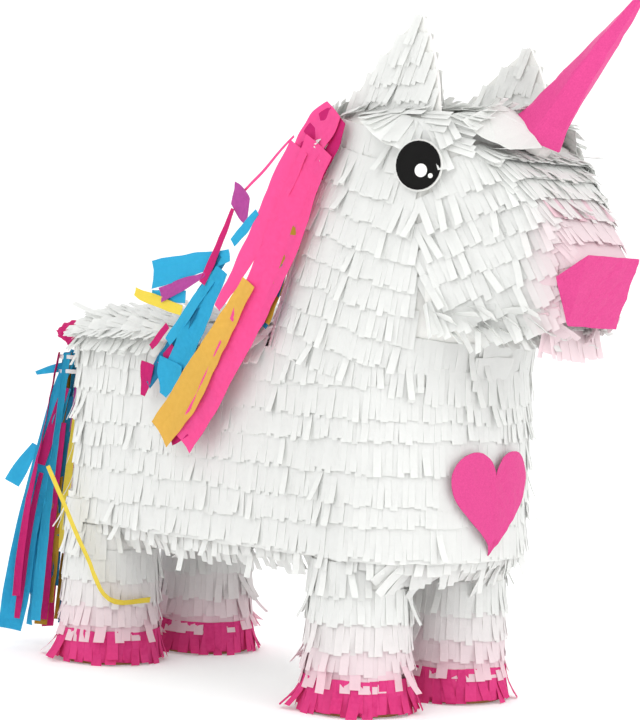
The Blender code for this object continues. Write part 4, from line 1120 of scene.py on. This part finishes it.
# %% Horn
HORN_BASE = Vector((0.2303, MIDDLE_Y, 0.4600))
HORN_TIP = Vector((0.3273, MIDDLE_Y, 0.5630))
HORN_RINGS, HORN_AROUND, HORN_FACETS = 26, 36, 5
HORN_CARD_RADIUS, HORN_CARD_TIP = 0.0178, 0.0018
HORN_TWIST = 0.004            # the twisted tip of the paper runs on past the card
HORN_START = 0.010            # the paper starts this far up the card cone
HORN_FLARE, HORN_FLARE_SHARE = 0.0035, 0.14
HORN_RIDGE = 0.0030           # how far a fold stands out between two facets
HORN_WIND = 0.9               # the facets turn this far round from foot to tip, in radians
HORN_TORN = 0.006
HORN_BUMP = 0.0009


def rolled_horn():
    """Paper wound round the card cone, as one closed body."""
    mesh = bmesh.new()
    mesh.verts.layers.float.new("tint")
    axis = (HORN_TIP - HORN_BASE).normalized()
    side = axis.cross(Vector((0, 1, 0))).normalized()
    other = axis.cross(side)
    length = (HORN_TIP - HORN_BASE).length
    rings = []
    for k in range(HORN_RINGS + 1):
        t = k / HORN_RINGS
        along_cone = (HORN_START + (length - HORN_START) * t) / length
        card = HORN_CARD_RADIUS * (1 - along_cone) + HORN_CARD_TIP * along_cone
        flare = HORN_FLARE * max(0.0, 1 - t / HORN_FLARE_SHARE) ** 1.5
        ring = []
        for i in range(HORN_AROUND):
            angle = 2 * math.pi * i / HORN_AROUND
            sector = 2 * math.pi / HORN_FACETS
            local = (angle + HORN_WIND * t + 0.4) % sector - sector / 2
            crease = (abs(local) / (sector / 2)) ** 2
            out = side * math.cos(angle) + other * math.sin(angle)
            place = HORN_BASE + axis * (HORN_START + (length + HORN_TWIST - HORN_START) * t)
            bump = HORN_BUMP * noise.noise((place + out * card) * 90) + HORN_BUMP
            radius = card + bump + flare + HORN_RIDGE * crease * (0.35 + 0.65 * (1 - t))
            edge = noise.noise(Vector((math.cos(angle) * 1.7, math.sin(angle) * 1.7, 4)))
            torn = HORN_TORN * edge if k == 0 else 0.0
            ring.append(mesh.verts.new(place + out * radius + axis * torn))
        rings.append(ring)
    for a, b in zip(rings, rings[1:]):
        for i in range(HORN_AROUND):
            mesh.faces.new((a[i], a[(i + 1) % HORN_AROUND], b[(i + 1) % HORN_AROUND], b[i]))
    mesh.faces.new(rings[-1])
    mesh.faces.new(list(reversed(rings[0])))
    bmesh.ops.recalc_face_normals(mesh, faces=mesh.faces)
    return mesh


finished_piece("horn_paper", rolled_horn(), HORN_PAPER, "root", ("horn_wrap",))

# %% [markdown]
# ## Heart and muzzle
# The heart is cut from pink tissue and pasted on the chest over the fringe, so it follows
# the chest's curve and shows the bumps of what lies below. The muzzle is a square of the
# same paper folded round the snout's end.

# %% Heart
HEART_RINGS, HEART_AROUND = 9, 72
HEART_STANDOFF = 0.0022
HEART_PAPER_THICKNESS = 0.0006
HEART_DIP, HEART_HEIGHT = 17, 28.9    # how low and how tall the heart curve below is, in its units


def heart_sheet():
    """The heart's outline filled with rings and laid on the chest, as one closed body."""
    low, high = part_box("heart")
    height = high.z - low.z
    outline = []
    for i in range(HEART_AROUND):
        t = 2 * math.pi * i / HEART_AROUND
        rise = 13 * math.cos(t) - 5 * math.cos(2 * t) - 2 * math.cos(3 * t) - math.cos(4 * t)
        outline.append(((low.y + high.y) / 2 + (high.y - low.y) / 2 * math.sin(t) ** 3,
                        low.z + height * (rise + HEART_DIP) / HEART_HEIGHT))
    middle_y, middle_z = (low.y + high.y) / 2, low.z + height * 0.60
    mesh = bmesh.new()

    def on_chest(y, z, above):
        hit = ray_hit(Vector((0.5, y, z)), Vector((-1, 0, 0)), 1.0,
                      {"trunk_tissue", "neck_tissue", "belly_tissue"})
        x = hit[0].x if hit else high.x - 0.002
        bump = 0.0018 * abs(noise.noise(Vector((0, y, z)) * 60))
        bump += 0.0008 * abs(noise.noise(Vector((3, y, z)) * 140))
        return mesh.verts.new((x + HEART_STANDOFF + above + bump, y, z))

    sheets = []
    for above in (0.0, HEART_PAPER_THICKNESS):
        centre = on_chest(middle_y, middle_z, above)
        rings = [[on_chest(middle_y + (y - middle_y) * k / HEART_RINGS,
                           middle_z + (z - middle_z) * k / HEART_RINGS, above) for y, z in outline]
                 for k in range(1, HEART_RINGS + 1)]
        for i in range(HEART_AROUND):
            n = (i + 1) % HEART_AROUND
            mesh.faces.new((centre, rings[0][i], rings[0][n]))
            for a, b in zip(rings, rings[1:]):
                mesh.faces.new((a[i], b[i], b[n], a[n]))
        sheets.append(rings[-1])
    for i in range(HEART_AROUND):
        n = (i + 1) % HEART_AROUND
        mesh.faces.new((sheets[0][i], sheets[1][i], sheets[1][n], sheets[0][n]))
    bmesh.ops.recalc_face_normals(mesh, faces=mesh.faces)
    return mesh


finished_piece("heart_paper", heart_sheet(), HEART_PAPER, "root", ("heart",))


# %% Muzzle paper
def pasted_sheet(corners, faces, cuts, crumple, thickness):
    """A flat sheet of paper through the corners, cut fine and crumpled, with a paper's thickness."""
    mesh = bmesh.new()
    verts = [mesh.verts.new(Vector(c) * MM) for c in corners]
    for face in faces:
        mesh.faces.new([verts[i] for i in face])
    for _ in range(cuts):
        bmesh.ops.subdivide_edges(mesh, edges=mesh.edges, cuts=1, use_grid_fill=True)
    bmesh.ops.triangulate(mesh, faces=mesh.faces)
    bmesh.ops.recalc_face_normals(mesh, faces=mesh.faces)
    mesh.normal_update()
    for vertex in mesh.verts:
        folds = 1.8 * abs(noise.noise(vertex.co * 60)) + 0.9 * abs(noise.noise(vertex.co * 150))
        vertex.co += vertex.normal * crumple * folds
    bmesh.ops.solidify(mesh, geom=mesh.faces[:], thickness=thickness)
    bmesh.ops.recalc_face_normals(mesh, faces=mesh.faces)
    return mesh


low, high = (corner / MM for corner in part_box("muzzle_patch"))
CLEAR, FOLD_BACK, FOLD_OUT = 1.0, 22, 8
MUZZLE_CORNERS = ((high.x + CLEAR, low.y + CLEAR, high.z + CLEAR), (high.x + CLEAR, high.y, high.z),
                  (low.x + 4.5, high.y, low.z), (low.x + 4.5, low.y + 4, low.z + 2),
                  (high.x - FOLD_BACK, low.y - FOLD_OUT, high.z - 2 * FOLD_OUT),
                  (high.x - 13, high.y + 3, high.z - 13), (low.x - 4, high.y + 1, low.z + 7))
MUZZLE_FACES = ((0, 1, 2, 3), (0, 3, 4), (1, 5, 6, 2))
muzzle_sheet = pasted_sheet(MUZZLE_CORNERS, MUZZLE_FACES, cuts=4, crumple=0.0013, thickness=0.0007)
finished_piece("muzzle_paper", muzzle_sheet, HEART_PAPER, "root", ("muzzle_patch",))


# %% A second, smaller glint on each eye
EYE_TURN = math.radians(17)   # the eyes look this far ahead of straight sideways
GLINT_AHEAD, GLINT_DROP, GLINT_RADIUS = 0.0082, 0.0040, 0.0019
for side, way in (("right", -1), ("left", 1)):
    low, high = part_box("eye_glint_" + side)
    facing = Vector((math.sin(EYE_TURN), way * math.cos(EYE_TURN), 0))
    ahead = Vector((math.cos(EYE_TURN), -way * math.sin(EYE_TURN), 0))
    centre = (low + high) / 2 + ahead * GLINT_AHEAD
    centre.z -= GLINT_DROP
    dot = bmesh.new()
    bmesh.ops.create_cone(dot, cap_ends=True, segments=24, radius1=GLINT_RADIUS, radius2=GLINT_RADIUS,
                          depth=0.0006)
    turn = facing.to_track_quat("Z", "Y").to_matrix().to_4x4()
    bmesh.ops.transform(dot, matrix=Matrix.Translation(centre) @ turn, verts=dot.verts)
    finished_piece("eye_small_glint_" + side, dot, WHITE_PAPER, "root")

# %% A folded white paper by the horn
# Its corners are stepped off from the middle of the horn's foot: ahead, to the left and up.
BROW_STEPS = ((-16, -67, 11), (-9, -35, 26), (-4, -11, 20), (17, -19, 2), (32, -27, -8), (20, -51, -11),
              (2, -63, -2))
BROW_CORNERS = [HORN_BASE / MM + Vector(step) for step in BROW_STEPS]
brow_sheet = pasted_sheet(BROW_CORNERS, (range(len(BROW_CORNERS)),), cuts=3, crumple=0.0010,
                          thickness=0.0005)
finished_piece("brow_paper", brow_sheet, BROW_PAPER, "root")
